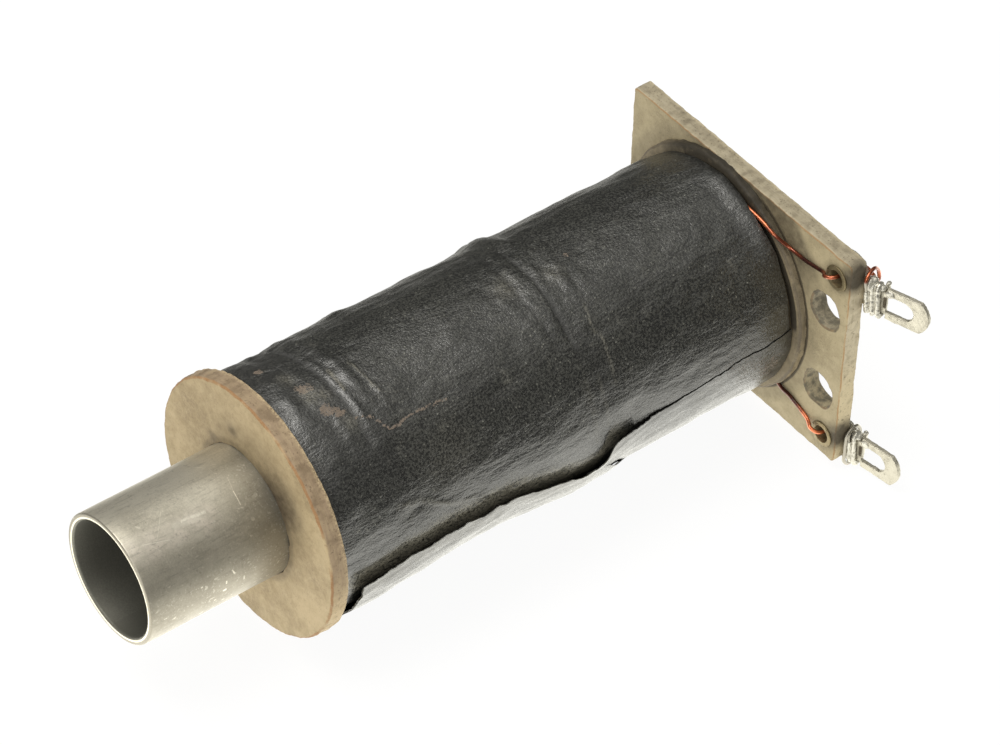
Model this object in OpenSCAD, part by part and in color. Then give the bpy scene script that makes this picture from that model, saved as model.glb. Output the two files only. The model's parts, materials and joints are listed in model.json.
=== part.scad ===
// Bare solenoid coil: a copper winding on a thin metal tube, held between a round fibre
// flange and a fibre terminal plate with two solder lugs, under a lapped black wrapper.
//
// Frame, in millimetres: the bore runs along Y, the nose points to -Y, the lugs reach out
// to +X and +Z is up. The origin is the bore's centre on the terminal plate's rear face.

/* [Core tube] */
// Bore of the tube, the plunger's running diameter
bore_d = 12.7; // [9:0.1:16]
// Wall of the tube
tube_wall = 0.8; // [0.5:0.05:1.4]
// Length of tube that stands out of the front flange
nose_len = 16.4; // [6:0.2:30]
// Chamfer broken on the mouth of the nose
mouth_chamfer = 0.2; // [0.05:0.05:0.24]
// Height that knurling raises the two seats for the end plates
knurl_lift = 0.2; // [0.05:0.05:0.4]

/* [Front flange] */
// Diameter of the round front flange
flange_d = 28.6; // [26:0.2:40]
// Thickness of the front flange
flange_t = 2; // [1.2:0.1:4]
// Radius that punching rolls over on the flange's front edge
flange_roll = 0.4; // [0.1:0.05:0.8]

/* [Terminal plate] */
// Width of the terminal plate, along X
plate_w = 34.8; // [33:0.2:50]
// Height of the terminal plate, along Z
plate_h = 27.4; // [25:0.2:40]
// Thickness of the terminal plate
plate_t = 2; // [1.2:0.1:4]
// Corner radius of the terminal plate
plate_corner = 0.6; // [0.2:0.1:2]
// Distance that the plate's centre lies from the bore, towards the lugs
plate_shift = 2.3; // [1.5:0.1:4]
// Diameter of the two mounting holes
hole_d = 4.3; // [2.5:0.1:4.6]
// Distance between the two mounting holes
hole_spacing = 11; // [8:0.2:13]
// Distance of the mounting holes from the lug edge
hole_inset = 3.3; // [2.6:0.1:3.6]
// Diameter of the thin washer that covers the start lead
washer_d = 28.6; // [26:0.2:30]
// Thickness of that washer
washer_t = 0.9; // [0.7:0.05:2]

/* [Winding] */
// Clear length between the front flange and the terminal plate
body_len = 58.7; // [30:0.5:90]
// Diameter of the enamelled wire
wire_d = 0.42; // [0.3:0.02:0.45]
// Number of wire layers, even so that both leads leave at the plate
layers = 12; // [4:2:12]
// Paper between the tube and the first layer
core_paper_t = 0.4; // [0.1:0.05:0.8]
// Room left behind the winding for the finish lead
lead_gap = 0.6; // [0.5:0.05:1]

/* [Wrappers] */
// Thickness of the paper over the last layer
inner_wrap_t = 0.2; // [0.1:0.05:0.5]
// Thickness of the black wrapper
wrap_t = 0.42; // [0.2:0.02:0.6]
// Bare stretch between the wrapper's rear end and the washer
wrap_gap = 0.7; // [0.7:0.1:3]
// Place of the wrapper's free edge, in degrees from the top towards the lugs
seam_angle = 95; // [60:1:150]
// Length of the lap under the free edge, in degrees
lap_angle = 46; // [20:1:80]
// Height that the free edge has lifted off
flap_lift = 0.5; // [0.1:0.05:0.8]
// Share of the wrapper's length, from the front, over which the free edge has lifted
flap_share = 0.55; // [0.2:0.05:0.8]

/* [Solder lugs] */
// Thickness of the lug's sheet metal
lug_t = 0.5; // [0.3:0.05:0.8]
// Width of the lug's head
lug_w = 4; // [3.6:0.1:5]
// Length of the lug's head, past its neck
lug_head = 5; // [4.5:0.1:7]
// Width of the neck that the wire is wound on
neck_w = 2.8; // [2:0.1:3]
// Width of the slot for the hook-up wire
slot_w = 2.3; // [1.2:0.1:2.6]
// Metal left between the slot and the tip
tip_wall = 1.8; // [1:0.1:2.2]
// Radius of the lug's round tip
tip_r = 2.5; // [2.2:0.1:4]
// Backward bend of the finish lug, in degrees
finish_bend = 19; // [5:1:25]
// Backward bend of the start lug, in degrees
start_bend = 9; // [5:1:25]
// Distance that the finish lug's tail lies below its eyelet
finish_drop = 1.8; // [0:0.1:2]
// Distance that the start lug's tail lies below its eyelet
start_drop = 1.2; // [0:0.1:2]

/* [Eyelets and soldered turns] */
// Distance between the two eyelets
eyelet_spacing = 22; // [20:0.2:22.4]
// Distance of the eyelets from the lug edge
eyelet_inset = 2; // [1.8:0.1:2.6]
// Bore of the hollow eyelet that rivets a lug to the plate
eyelet_bore = 1.9; // [1.5:0.1:2]
// Diameter of the eyelet's two rolled heads
eyelet_head_d = 3; // [2.8:0.1:3.2]
// Tinned turns of wire on the finish lug's neck
finish_turns = 3; // [2:1:4]
// Tinned turns of wire on the start lug's neck
start_turns = 2; // [2:1:4]
// Thickness of a turn with its coat of solder
tinned_d = 0.56; // [0.5:0.02:0.6]
// Gap between one tinned turn and the next
turn_gap = 0.12; // [0.04:0.02:0.2]
// Slack that stands the finish lead's copper loop off the tinned turns
finish_slack = 0.7; // [0:0.1:1]
// Length of the cut wire end that stands past the last turn
wire_end = 0.9; // [0.2:0.1:1.5]

/* [Hidden] */
$fn = 96;
// Clearance of a wire from what it lies on
clear = 0.05;
// Length that a cut runs on past what it cuts
past = 1;
// Length over which the knurled seats run out in front of the plates
knurl_run = 0.3;
// Wall of the eyelet and thickness of its heads
eyelet_wall = 0.2;
// Inside radius of a lug's bend
bend_r = 0.5;
// Width of the lug's round tab around its eyelet
tab_d = 4.4;
// Sides of a swept wire, and points on each span of its route, each tinned turn and each loose turn
wire_sides = 8;
span_steps = 4;
turn_steps = 20;
loose_steps = 10;
// Points along each face of the wrapper's lap
lap_steps = 16;

tube_r = bore_d / 2 + tube_wall;
seat_r = tube_r + knurl_lift;
// Stations along Y, from the plate's rear face to the nose
plate_y = -plate_t;
washer_y = plate_y - washer_t;
flange_y = plate_y - body_len;
shoulder_y = flange_y - flange_t;
nose_y = shoulder_y - nose_len;
winding_y = washer_y - lead_gap;
wrap_y = washer_y - wrap_gap;
wrap_len = wrap_y - flange_y;
// Radii, from the tube outwards
core_r = tube_r + core_paper_t;
winding_r = core_r + layers * wire_d;
wrap_r = winding_r + inner_wrap_t;
skin_r = wrap_r + wrap_t;
// Places on the terminal plate
lug_edge = plate_shift + plate_w / 2;
eyelet_x = lug_edge - eyelet_inset;
eyelet_r = eyelet_bore / 2 + eyelet_wall;
hole_x = lug_edge - hole_inset;
// The lug bends where it passes the plate's edge
bend_x = lug_edge;
eyelet_back_y = lug_t + eyelet_wall;
// Wire centre when it lies on the plate, on the washer and on the winding's rear face
on_plate_y = plate_y - wire_d / 2 - clear;
on_washer_y = washer_y - wire_d / 2 - clear;
on_winding_y = winding_y + wire_d / 2 + clear;
// The start lead's groove runs straight out across the washer, this far below +X
start_angle = 40;
groove_play = 0.1;
groove_w = wire_d + 2 * groove_play;
groove_t = wire_d + groove_play;
// The finish lead comes round the last layer and leaves it between these angles from the top
finish_angles = [-8, 12];
// It crosses the wrapper's end, then the washer's rim, at these angles, this far out from each
wrap_cross = [30, 0.4];
rim_cross = [[39, -0.1], [47, 0.2]];
// The start lead's last points before its rim and past it, out and down from where the groove ends
start_inside = 0.5;
start_outside = [1.8, -0.2];
// Points where the leads lie on the plate, and the one where they dip into the eyelet, from its centre
start_points = [[-2.3, 0.7]];
start_dip = [-1.1, 0.3];
finish_points = [[-4.4, -0.8], [-1.9, -0.4]];
finish_dip = [-1.1, -0.2];
dip_lift = 0.25;
// Points inside the eyelet and behind it, from its axis: [x, back, up]
eyelet_in = -0.2;
eyelet_mid = -0.1;
eyelet_out = [0.5, 0.4, 0.1];
// Share of a turn that the lead runs behind the lug before it comes over, and over which it closes in
behind_turn = 0.36;
closing_turn = 0.125;

function layer_name(i) = str("winding_layer_", i < 10 ? "0" : "", i);

fibre = "tan";
black = "#2b2c2a";
tinned = "gainsboro";
copper = "#b5532d";

// Shapes that repeat

// Ring about the bore between two stations along Y
module sleeve(inner_r, outer_r, from_y, to_y) {
  translate([0, to_y, 0])
    rotate([90, 0, 0])
      difference() {
        cylinder(r = outer_r, h = to_y - from_y);
        translate([0, 0, -past])
          cylinder(r = inner_r, h = to_y - from_y + 2 * past);
      }
}

// Solid of revolution about the bore: profile points are [radius, y]
module turned_about_bore() {
  rotate([-90, 0, 0])
    rotate_extrude()
      children();
}

// Flat outline in X and Z, as a plate from from_y to to_y
module plate_between(from_y, to_y) {
  translate([0, to_y, 0])
    rotate([90, 0, 0])
      linear_extrude(to_y - from_y)
        children();
}

// Rectangle about the origin with round corners
module rounded_rectangle(size, r) {
  square([size.x - 2 * r, size.y], center = true);
  square([size.x, size.y - 2 * r], center = true);
  for (x = [-1, 1], y = [-1, 1])
    translate([x * (size.x / 2 - r), y * (size.y / 2 - r)])
      circle(r);
}

// Smooth curve through the points of a route
function smooth_point(p, i, t) =
  let (a = p[max(i - 1, 0)], b = p[i], c = p[i + 1], d = p[min(i + 2, len(p) - 1)])
  0.5 * (2 * b + (c - a) * t + (2 * a - 5 * b + 4 * c - d) * t * t + (3 * b - a - 3 * c + d) * t * t * t);
function smooth(p, steps = span_steps) =
  concat([for (i = [0:len(p) - 2], s = [0:steps - 1]) smooth_point(p, i, s / steps)], [p[len(p) - 1]]);

// Frames along a path, each turned from the one before it with no twist
function unit(v) = v / norm(v);
function heading(path, i) = unit(path[min(i + 1, len(path) - 1)] - path[max(i - 1, 0)]);
function square_to(v, along) = unit(v - (v * along) * along);
function first_side(along) = square_to(abs(along.z) < 0.8 ? [0, 0, 1] : [1, 0, 0], along);
function sides_along(path, i = 0, side = undef, found = []) =
  i == len(path) ? found :
  let (along = heading(path, i), here = is_undef(side) ? first_side(along) : square_to(side, along))
  sides_along(path, i + 1, here, concat(found, [here]));

// Round wire swept along a path
module wire(path, d) {
  side = sides_along(path);
  n = wire_sides;
  last = len(path) - 1;
  rings = [
    for (i = [0:last], k = [0:n - 1])
      let (across = cross(heading(path, i), side[i]))
      path[i] + d / 2 * (cos(360 * k / n) * side[i] + sin(360 * k / n) * across)
  ];
  walls = [
    for (i = [0:last - 1], k = [0:n - 1])
      [i * n + k, (i + 1) * n + k, (i + 1) * n + (k + 1) % n, i * n + (k + 1) % n]
  ];
  caps = [[for (k = [0:n - 1]) k], [for (k = [n - 1:-1:0]) last * n + k]];
  polyhedron(rings, concat(walls, caps));
}

// Core tube, with a knurled seat for each end plate

module core_tube() {
  color("silver")
    turned_about_bore()
      polygon([
        [bore_d / 2, nose_y + mouth_chamfer], [bore_d / 2 + mouth_chamfer, nose_y],
        [tube_r - mouth_chamfer, nose_y], [tube_r, nose_y + mouth_chamfer],
        [tube_r, shoulder_y - knurl_run], [seat_r, shoulder_y], [seat_r, flange_y], [tube_r, flange_y],
        [tube_r, washer_y - knurl_run], [seat_r, washer_y], [seat_r, 0], [bore_d / 2, 0]
      ]);
}

// Paper sleeve that insulates the winding from the tube

module core_paper() {
  color("wheat")
    sleeve(tube_r, core_r, flange_y, winding_y);
}

// Round fibre flange, with the front edge rolled over by the punch

module front_flange() {
  color(fibre)
    turned_about_bore()
      difference() {
        translate([seat_r, shoulder_y])
          square([flange_d / 2 - seat_r, flange_t]);
        translate([flange_d / 2 - flange_roll, shoulder_y])
          difference() {
            translate([0, -past])
              square([flange_roll + past, flange_roll + past]);
            translate([0, flange_roll])
              circle(flange_roll);
          }
      }
}

// Fibre terminal plate: bore, two mounting holes and two eyelet holes

module terminal_plate() {
  color(fibre)
    plate_between(plate_y, 0)
      difference() {
        translate([plate_shift, 0])
          rounded_rectangle([plate_w, plate_h], plate_corner);
        circle(seat_r);
        for (side = [-1, 1]) {
          translate([hole_x, side * hole_spacing / 2])
            circle(d = hole_d);
          translate([eyelet_x, side * eyelet_spacing / 2])
            circle(eyelet_r);
        }
      }
}

// Thin fibre washer over the start lead, grooved so that the lead lies flat on the plate

module rear_washer() {
  color("burlywood")
    difference() {
      sleeve(seat_r, washer_d / 2, washer_y, plate_y);
      rotate([0, start_angle, 0])
        translate([core_r, plate_y - groove_t, -groove_w / 2])
          cube([washer_d, groove_t + past, groove_w]);
      rotate([0, start_angle, 0])
        translate([core_r, washer_y - past, -groove_w / 2])
          cube([groove_w, washer_t + 2 * past, groove_w]);
    }
}

// Winding: each layer runs the full length, and an even number of them ends at the plate

module winding_layer(i) {
  color(copper)
    sleeve(core_r + (i - 1) * wire_d, core_r + i * wire_d, flange_y, winding_y);
}

// Paper over the last layer

module inner_wrap() {
  color("dimgray")
    sleeve(winding_r, wrap_r, flange_y, winding_y);
}

// Black wrapper: one full turn, and a lap whose free edge has lifted along its front part

// Depth that the lap is bonded into the turn below it
bond = wrap_t / 5;
// Shares of the lap over which it climbs onto that turn, and over which its free edge lifts
climb_share = 1 / 3;
lift_share = 1 / 2;

// Radii of the lap's two faces, an angle a past its free edge
function lap_rise(a) = (1 - cos(180 * min(1, (1 - a / lap_angle) / climb_share))) / 2;
function lap_outer_r(a, lift) =
  skin_r + wrap_t * lap_rise(a) + lift * pow(max(0, 1 - a / lap_angle / lift_share), 2);
function lap_inner_r(a, lift) = max(wrap_r + bond, lap_outer_r(a, lift) - wrap_t - bond);
function around(r, a) = [r * sin(seam_angle + a), r * cos(seam_angle + a)];

module lap_section(lift) {
  angles = [for (i = [0:lap_steps]) lap_angle * i / lap_steps];
  polygon(concat(
    [for (a = angles) around(lap_outer_r(a, lift), a)],
    [for (i = [lap_steps:-1:0]) around(lap_inner_r(angles[i], lift), angles[i])]));
}

module outer_wrap() {
  lift_y = flange_y + wrap_len * flap_share;
  color(black) {
    sleeve(wrap_r, skin_r, flange_y, wrap_y);
    plate_between(flange_y, lift_y)
      lap_section(flap_lift);
    plate_between(lift_y, wrap_y)
      lap_section(0);
  }
}

// Solder lug: round tab on the plate's rear face, bent back past the edge, with a slotted head

// Place in the frame of a point on a bent lug: x along from the bend, y back from its front face, z up
function on_lug(bend, p) = [
  bend_x + (bend_r + lug_t) * sin(bend) + p.x * cos(bend) - p.y * sin(bend),
  (bend_r + lug_t) * (1 - cos(bend)) + p.x * sin(bend) + p.y * cos(bend),
  p.z
];

// The neck is as long as its turns of wire need
turn_pitch = tinned_d + turn_gap;
root_u = 0.1;
last_turn = 0.65;
function wound_len(turns) = root_u + turn_pitch * (turns - 1 + last_turn) + tinned_d / 2 + clear;

module lug_head_outline(neck_len) {
  tip_u = neck_len + lug_head;
  slot_u = neck_len + clear;
  slot_end = tip_u - tip_wall - slot_w / 2;
  difference() {
    union() {
      translate([0, -neck_w / 2])
        square([neck_len + past, neck_w]);
      intersection() {
        translate([neck_len, -lug_w / 2])
          square([lug_head, lug_w]);
        union() {
          translate([tip_u - tip_r, 0])
            circle(tip_r);
          translate([neck_len, -lug_w / 2])
            square([lug_head - tip_r, lug_w]);
        }
      }
    }
    translate([slot_u, -slot_w / 2])
      square([slot_end - slot_u, slot_w]);
    translate([slot_end, 0])
      circle(d = slot_w);
  }
}

module lug_tab_outline(drop) {
  difference() {
    union() {
      translate([eyelet_x, 0])
        circle(d = tab_d);
      translate([eyelet_x, -drop])
        circle(d = neck_w);
      translate([eyelet_x, -drop - neck_w / 2])
        square([bend_x - eyelet_x, neck_w]);
    }
    translate([eyelet_x, 0])
      circle(eyelet_r);
  }
}

module solder_lug(bend, drop, turns) {
  color(tinned) {
    plate_between(0, lug_t)
      lug_tab_outline(drop);
    translate([bend_x, lug_t + bend_r, -drop]) {
      rotate([0, 0, -90])
        rotate_extrude(angle = bend)
          translate([bend_r, -neck_w / 2])
            square([lug_t, neck_w]);
      rotate([0, 0, bend])
        translate([0, -bend_r - lug_t, 0])
          plate_between(0, lug_t)
            lug_head_outline(wound_len(turns));
    }
  }
}

// Hollow eyelet that rivets a lug to the plate and lets the lead through

module eyelet() {
  color("darkkhaki")
    translate([eyelet_x, 0, 0])
      rotate([-90, 0, 0])
        rotate_extrude()
          translate([eyelet_bore / 2, 0]) {
            translate([0, plate_y - eyelet_wall])
              square([eyelet_wall, plate_t + lug_t + 2 * eyelet_wall]);
            for (y = [plate_y - eyelet_wall, lug_t])
              translate([0, y])
                square([(eyelet_head_d - eyelet_bore) / 2, eyelet_wall]);
          }
}

// Wire wound on a lug's neck: down the front, under, up the back and over the top

// Point on a turn, [back, up], t turns from the front's middle, with the wire's centre set off from the neck
function turn_point(t, off) =
  let (
    half = neck_w / 2, r = lug_t / 2 + off, arc = PI * r, whole = 4 * half + 2 * arc,
    s = (t - floor(t)) * whole, under = half + arc, top = under + 2 * half
  )
  s < half ? [-off, -s] :
  s < under ? let (a = 180 * (s - half) / arc) [lug_t / 2 - r * cos(a), -half - r * sin(a)] :
  s < top ? [lug_t + off, s - under - half] :
  s < top + arc ? let (a = 180 * (s - top) / arc) [lug_t / 2 + r * cos(a), half + r * sin(a)] :
  [-off, whole - s];
function turn_on_lug(bend, u, t, off) =
  let (p = turn_point(t, off)) on_lug(bend, [u, p.x, p.y]);

// The tinned turns start on the upper part of the front, where the copper lead comes down to them
first_turn = -0.1;
tinned_off = tinned_d / 2 + clear;
loose_off = tinned_off + tinned_d / 2 + wire_d / 2 + clear;

module tinned_turns(bend, turns) {
  count = turns - 1 + last_turn - first_turn;
  advance = (turns - 1 + last_turn) / count;
  steps = ceil(turn_steps * count);
  wound = [
    for (i = [0:steps])
      let (t = count * i / steps)
      turn_on_lug(bend, root_u + turn_pitch * t * advance, first_turn + t, tinned_off)
  ];
  color(tinned)
    wire(concat(wound, [wound[steps] + [0, 0, wire_end]]), tinned_d);
}

// Solder that has run out on the lug's upper leg, in front and behind, beside the last turn

module solder(bend, turns) {
  leg = (lug_w - slot_w) / 2;
  color("lightgray")
    for (back = [0, 1])
      translate(on_lug(bend, [wound_len(turns) + leg, back * lug_t, (slot_w + leg) / 2]))
        rotate([0, 0, bend])
          intersection() {
            translate([0, (0.5 - back) * leg / 2, 0])
              sphere(d = leg);
            translate([-leg, (back - 1) * leg, -leg])
              cube([2 * leg, leg, 2 * leg]);
          }
}

// Leads

// Through the eyelet, out behind the lug, and loosely round its neck to where the tinned turns start
function lead_tail(z, bend, drop, loose_turns, slack) =
  let (
    out_y = eyelet_back_y + wire_d / 2 + clear, apart = loose_off + slack - tinned_off,
    run = loose_turns + behind_turn, count = ceil(loose_steps * run)
  )
  concat(
    [
      [eyelet_x + eyelet_in, plate_y, z],
      [eyelet_x + eyelet_mid, lug_t / 2, z],
      [eyelet_x, out_y, z] + eyelet_out
    ],
    [for (i = [0:count])
      let (left = run * (1 - i / count), off = tinned_off + apart * min(1, left / closing_turn))
      [0, 0, z - drop] + turn_on_lug(bend, root_u, first_turn - left, off)]);

// Along the plate and down into the eyelet
function lead_on_plate(z, points, dip) = concat(
  [for (p = points) [eyelet_x + p.x, on_plate_y, z + p.y]],
  [[eyelet_x + dip.x, plate_y - eyelet_wall - wire_d / 2 - dip_lift, z + dip.y]]);

function start_route() =
  let (
    out = [cos(start_angle), 0, -sin(start_angle)], rim = washer_d / 2 * out, z = -eyelet_spacing / 2,
    climb = (core_r + wire_d / 2 + groove_play) * out
  )
  concat(
    [
      climb + [0, winding_y + clear, 0],
      climb + [0, washer_y, 0],
      climb + (wire_d / 2 + 2 * groove_play) * out + [0, on_plate_y, 0],
      rim - start_inside * out + [0, on_plate_y, 0],
      rim + [start_outside.x, on_plate_y, start_outside.y]
    ],
    lead_on_plate(z, start_points, start_dip),
    lead_tail(z, start_bend, start_drop, 1, 0));

// Point at an angle from the top
function at_angle(a, r, y) = [r * sin(a), y, r * cos(a)];

function finish_route() =
  let (z = eyelet_spacing / 2, rim = washer_d / 2 + wire_d / 2 + 2 * clear)
  concat(
    [
      for (a = finish_angles) at_angle(a, winding_r - wire_d / 2, on_winding_y),
      at_angle(wrap_cross[0], skin_r + wrap_cross[1], on_washer_y),
      at_angle(rim_cross[0][0], rim + rim_cross[0][1], on_washer_y),
      at_angle(rim_cross[1][0], rim + rim_cross[1][1], on_plate_y)
    ],
    lead_on_plate(z, finish_points, finish_dip),
    lead_tail(z, finish_bend, finish_drop, 0, finish_slack));

module lead(route) {
  color(copper)
    wire(smooth(route), wire_d);
}

// Puts what belongs to one eyelet at its height, lowered by a drop
module at_eyelet(side, drop = 0) {
  translate([0, 0, side * eyelet_spacing / 2 - drop])
    children();
}

core_tube();
core_paper();
front_flange();
terminal_plate();
rear_washer();
inner_wrap();
outer_wrap();
at_eyelet(-1) solder_lug(start_bend, start_drop, start_turns);  // start_lug
at_eyelet(-1) eyelet();  // start_eyelet
lead(start_route());  // start_lead
at_eyelet(-1, start_drop) tinned_turns(start_bend, start_turns);
at_eyelet(-1, start_drop) solder(start_bend, start_turns);  // start_solder
at_eyelet(1) solder_lug(finish_bend, finish_drop, finish_turns);  // finish_lug
at_eyelet(1) eyelet();  // finish_eyelet
lead(finish_route());  // finish_lead
at_eyelet(1, finish_drop) tinned_turns(finish_bend, finish_turns);
at_eyelet(1, finish_drop) solder(finish_bend, finish_turns);  // finish_solder
for (i = [1:layers])
  winding_layer(i);
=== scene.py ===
# %% [markdown]
# # A bare solenoid coil
# The coil is a copper winding on a thin metal tube, held between a round fibre flange and a fibre
# terminal plate, under a black wrapper that has begun to come undone. The solids are already built and
# fixed in place. This lesson gives each visible piece the skin that the real one has.

# %% Load the frame
import json
import math

import bmesh
import bpy
import numpy as np
from mathutils import Matrix, Vector, geometry


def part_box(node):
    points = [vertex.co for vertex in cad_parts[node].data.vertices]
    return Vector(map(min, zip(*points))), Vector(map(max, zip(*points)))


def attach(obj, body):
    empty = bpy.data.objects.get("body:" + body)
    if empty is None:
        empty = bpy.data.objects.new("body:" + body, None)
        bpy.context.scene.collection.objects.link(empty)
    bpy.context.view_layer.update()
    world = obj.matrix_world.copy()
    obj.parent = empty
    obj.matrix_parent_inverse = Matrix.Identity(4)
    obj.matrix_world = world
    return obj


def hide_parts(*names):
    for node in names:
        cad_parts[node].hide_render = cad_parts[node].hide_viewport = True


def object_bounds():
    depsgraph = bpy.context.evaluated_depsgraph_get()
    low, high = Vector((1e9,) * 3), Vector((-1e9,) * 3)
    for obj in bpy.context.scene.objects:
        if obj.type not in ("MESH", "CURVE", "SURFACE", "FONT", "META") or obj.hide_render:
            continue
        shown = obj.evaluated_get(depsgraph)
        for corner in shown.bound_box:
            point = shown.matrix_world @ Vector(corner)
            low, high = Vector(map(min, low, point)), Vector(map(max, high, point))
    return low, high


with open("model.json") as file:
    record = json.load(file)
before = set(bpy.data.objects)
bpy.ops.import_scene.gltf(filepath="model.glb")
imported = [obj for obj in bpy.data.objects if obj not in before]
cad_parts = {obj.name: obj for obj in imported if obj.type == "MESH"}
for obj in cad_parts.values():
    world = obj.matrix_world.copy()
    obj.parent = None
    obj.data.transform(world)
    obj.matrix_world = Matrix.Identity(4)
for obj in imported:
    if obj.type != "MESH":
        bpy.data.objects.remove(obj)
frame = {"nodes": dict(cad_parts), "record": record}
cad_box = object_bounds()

MM = 0.001
mounts = {m["name"]: m["dims"] for m in frame["record"]["mounts"]}


def box_mm(node):
    """Lowest and highest corner of a solid, in millimetres."""
    return [np.array(corner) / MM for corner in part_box(node)]


print("solids:", len(frame["nodes"]), "box in mm:", [tuple(round(v / MM, 1) for v in c) for c in cad_box])

# %% [markdown]
# ## Camera
# The camera stands where the photographer stood. Its place was found by matching the ellipses of the
# tube and the flange and the straight edges of the plate, so every piece falls where it does in the
# picture. A long lens from far away keeps the plate's edges nearly parallel.

# %% Camera
CAMERA_AT = Vector((0.27995, -0.25827, 0.34743))
CAMERA_LOOKS = Vector((-0.55956, 0.45422, -0.69324))
CAMERA_UP = Vector((-0.55895, 0.41077, 0.72031))
SENSOR = 36.0
FOCAL_PER_WIDTH = 4.91976

camera_data = bpy.data.cameras.new("camera")
camera_data.sensor_fit = "HORIZONTAL"
camera_data.sensor_width = SENSOR
camera_data.lens = SENSOR * FOCAL_PER_WIDTH
camera_data.clip_start = 0.01
camera_data.clip_end = 20
camera = bpy.data.objects.new("camera", camera_data)
camera_right = CAMERA_LOOKS.cross(CAMERA_UP)
camera.matrix_world = Matrix((camera_right, CAMERA_UP, -CAMERA_LOOKS)).transposed().to_4x4()
camera.matrix_world.translation = CAMERA_AT
bpy.context.scene.collection.objects.link(camera)
bpy.context.scene.camera = camera
print("camera lens:", round(camera_data.lens, 1), "mm")

# %% [markdown]
# ## A socket that does sums
# A shader is a sum over a surface, and a sum is easier to read as Python than as a web of nodes. One
# small class wraps a socket: the operators add Math nodes, and one method adds any other node, with its
# settings first because they decide which sockets a node has.


# %% Node helpers
class Dial:
    """One output of a node tree, so that sums on it are written as Python sums."""

    def __init__(self, tree, socket):
        self.tree = tree
        self.socket = socket

    def node(self, kind, settings=None, sockets=None, output=0):
        """Any other node: its type, its settings, and the values or links of its sockets."""
        return Dial(self.tree, add_node(self.tree, kind, settings, sockets).outputs[output])

    def math(self, operation, *values):
        return self.node("ShaderNodeMath", {"operation": operation}, dict(enumerate(values)))

    def __add__(self, other):
        return self.math("ADD", self, other)

    def __radd__(self, other):
        return self.math("ADD", other, self)

    def __sub__(self, other):
        return self.math("SUBTRACT", self, other)

    def __rsub__(self, other):
        return self.math("SUBTRACT", other, self)

    def __mul__(self, other):
        return self.math("MULTIPLY", self, other)

    def __rmul__(self, other):
        return self.math("MULTIPLY", other, self)

    def __pow__(self, other):
        return self.math("POWER", self, other)

    def axis(self, name):
        """X, Y or Z of a vector."""
        return self.node("ShaderNodeSeparateXYZ", None, {"Vector": self}, name)

    def rise(self, low, high):
        """0 where the value is below low, 1 where it is above high, and smooth between them."""
        sockets = {"Value": self, "From Min": low, "From Max": high}
        return self.node("ShaderNodeMapRange", {"interpolation_type": "SMOOTHSTEP"}, sockets)


def add_node(tree, kind, settings=None, sockets=None):
    """Add a node to a tree: settings first, then sockets, each by value or by link."""
    made = tree.nodes.new(kind)
    for name, value in (settings or {}).items():
        setattr(made, name, value)
    for name, value in (sockets or {}).items():
        value = value.socket if isinstance(value, Dial) else value
        if isinstance(value, bpy.types.NodeSocket):
            tree.links.new(value, made.inputs[name])
        else:
            made.inputs[name].default_value = value
    return made


# %% [markdown]
# ## Studio
# The coil lies on a glowing white table in soft light, so its underside is as bright as its top. White is
# what the camera and the mirrors see of the table and the room, so it takes no extra light on the object.
# Metal and varnish need something dark to show their form, so the room is dim near the horizon.

# %% Room
ROOM_LIGHT = 0.58
ROOM_TINT = (1.0, 0.985, 0.91, 1)
WHITE = (1, 1, 1, 1)
HORIZON_GLOSS = 0.09
ZENITH_GLOSS = 0.47
DIM_UP_TO, BRIGHT_FROM = 0.5, 0.92


def ray_masks(tree):
    """Two masks: rays straight from the camera, and rays from a mirror or through a glass."""
    rays = add_node(tree, "ShaderNodeLightPath")
    seen = Dial(tree, rays.outputs["Is Camera Ray"])
    mirrored = Dial(tree, rays.outputs["Is Glossy Ray"])
    through = Dial(tree, rays.outputs["Is Transmission Ray"])
    return seen, mirrored.math("MAXIMUM", mirrored, through)


def tinted(seen):
    """White to the camera, and the room's tint to the object."""
    return seen.node("ShaderNodeMix", {"data_type": "RGBA"}, {0: seen, 6: ROOM_TINT, 7: WHITE}, 2)


world = bpy.data.worlds.new("room")
world.use_nodes = True
bpy.context.scene.world = world
room = world.node_tree
room.nodes.clear()
seen, mirrored = ray_masks(room)
heading = add_node(room, "ShaderNodeTexCoord").outputs["Generated"]
height = Dial(room, heading).axis("Z")
gloss = HORIZON_GLOSS + (ZENITH_GLOSS - HORIZON_GLOSS) * height.rise(DIM_UP_TO, BRIGHT_FROM)
strength = seen + (1 - seen) * (mirrored * gloss + (1 - mirrored) * ROOM_LIGHT)
background = add_node(room, "ShaderNodeBackground", None, {"Color": tinted(seen), "Strength": strength})
add_node(room, "ShaderNodeOutputWorld", None, {"Surface": background.outputs[0]})
bpy.context.scene.view_settings.view_transform = "Standard"
print("room with", len(room.nodes), "nodes")

# %% [markdown]
# Two square softboxes give the light a direction: a large one overhead, and a weaker one from the front
# that lights the flange and the mouth of the tube.

# %% Lamps
LAMPS_AIM = Vector((0, -0.03, 0))


def softbox(name, at, size, watts, colour):
    """A square area lamp that faces the coil."""
    data = bpy.data.lights.new(name, "AREA")
    data.energy = watts
    data.size = size
    data.color = colour
    lamp = bpy.data.objects.new(name, data)
    lamp.location = at
    lamp.rotation_euler = (LAMPS_AIM - Vector(at)).to_track_quat("-Z", "Y").to_euler()
    bpy.context.scene.collection.objects.link(lamp)
    print("lamp", name, "of", watts, "watts")


softbox("overhead", at=(-0.15, -0.25, 0.75), size=0.5, watts=3.8, colour=(1.0, 0.98, 0.93))
softbox("from_the_front", at=(0.35, -0.65, 0.35), size=0.4, watts=1.8, colour=(1.0, 0.98, 0.94))

# %% [markdown]
# The table is a plain square that glows. The camera sees it white, with the coil's soft shadow. In the
# coil's reflections it is a bright strip along the coil that falls off to both sides, as on a light box.

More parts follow.
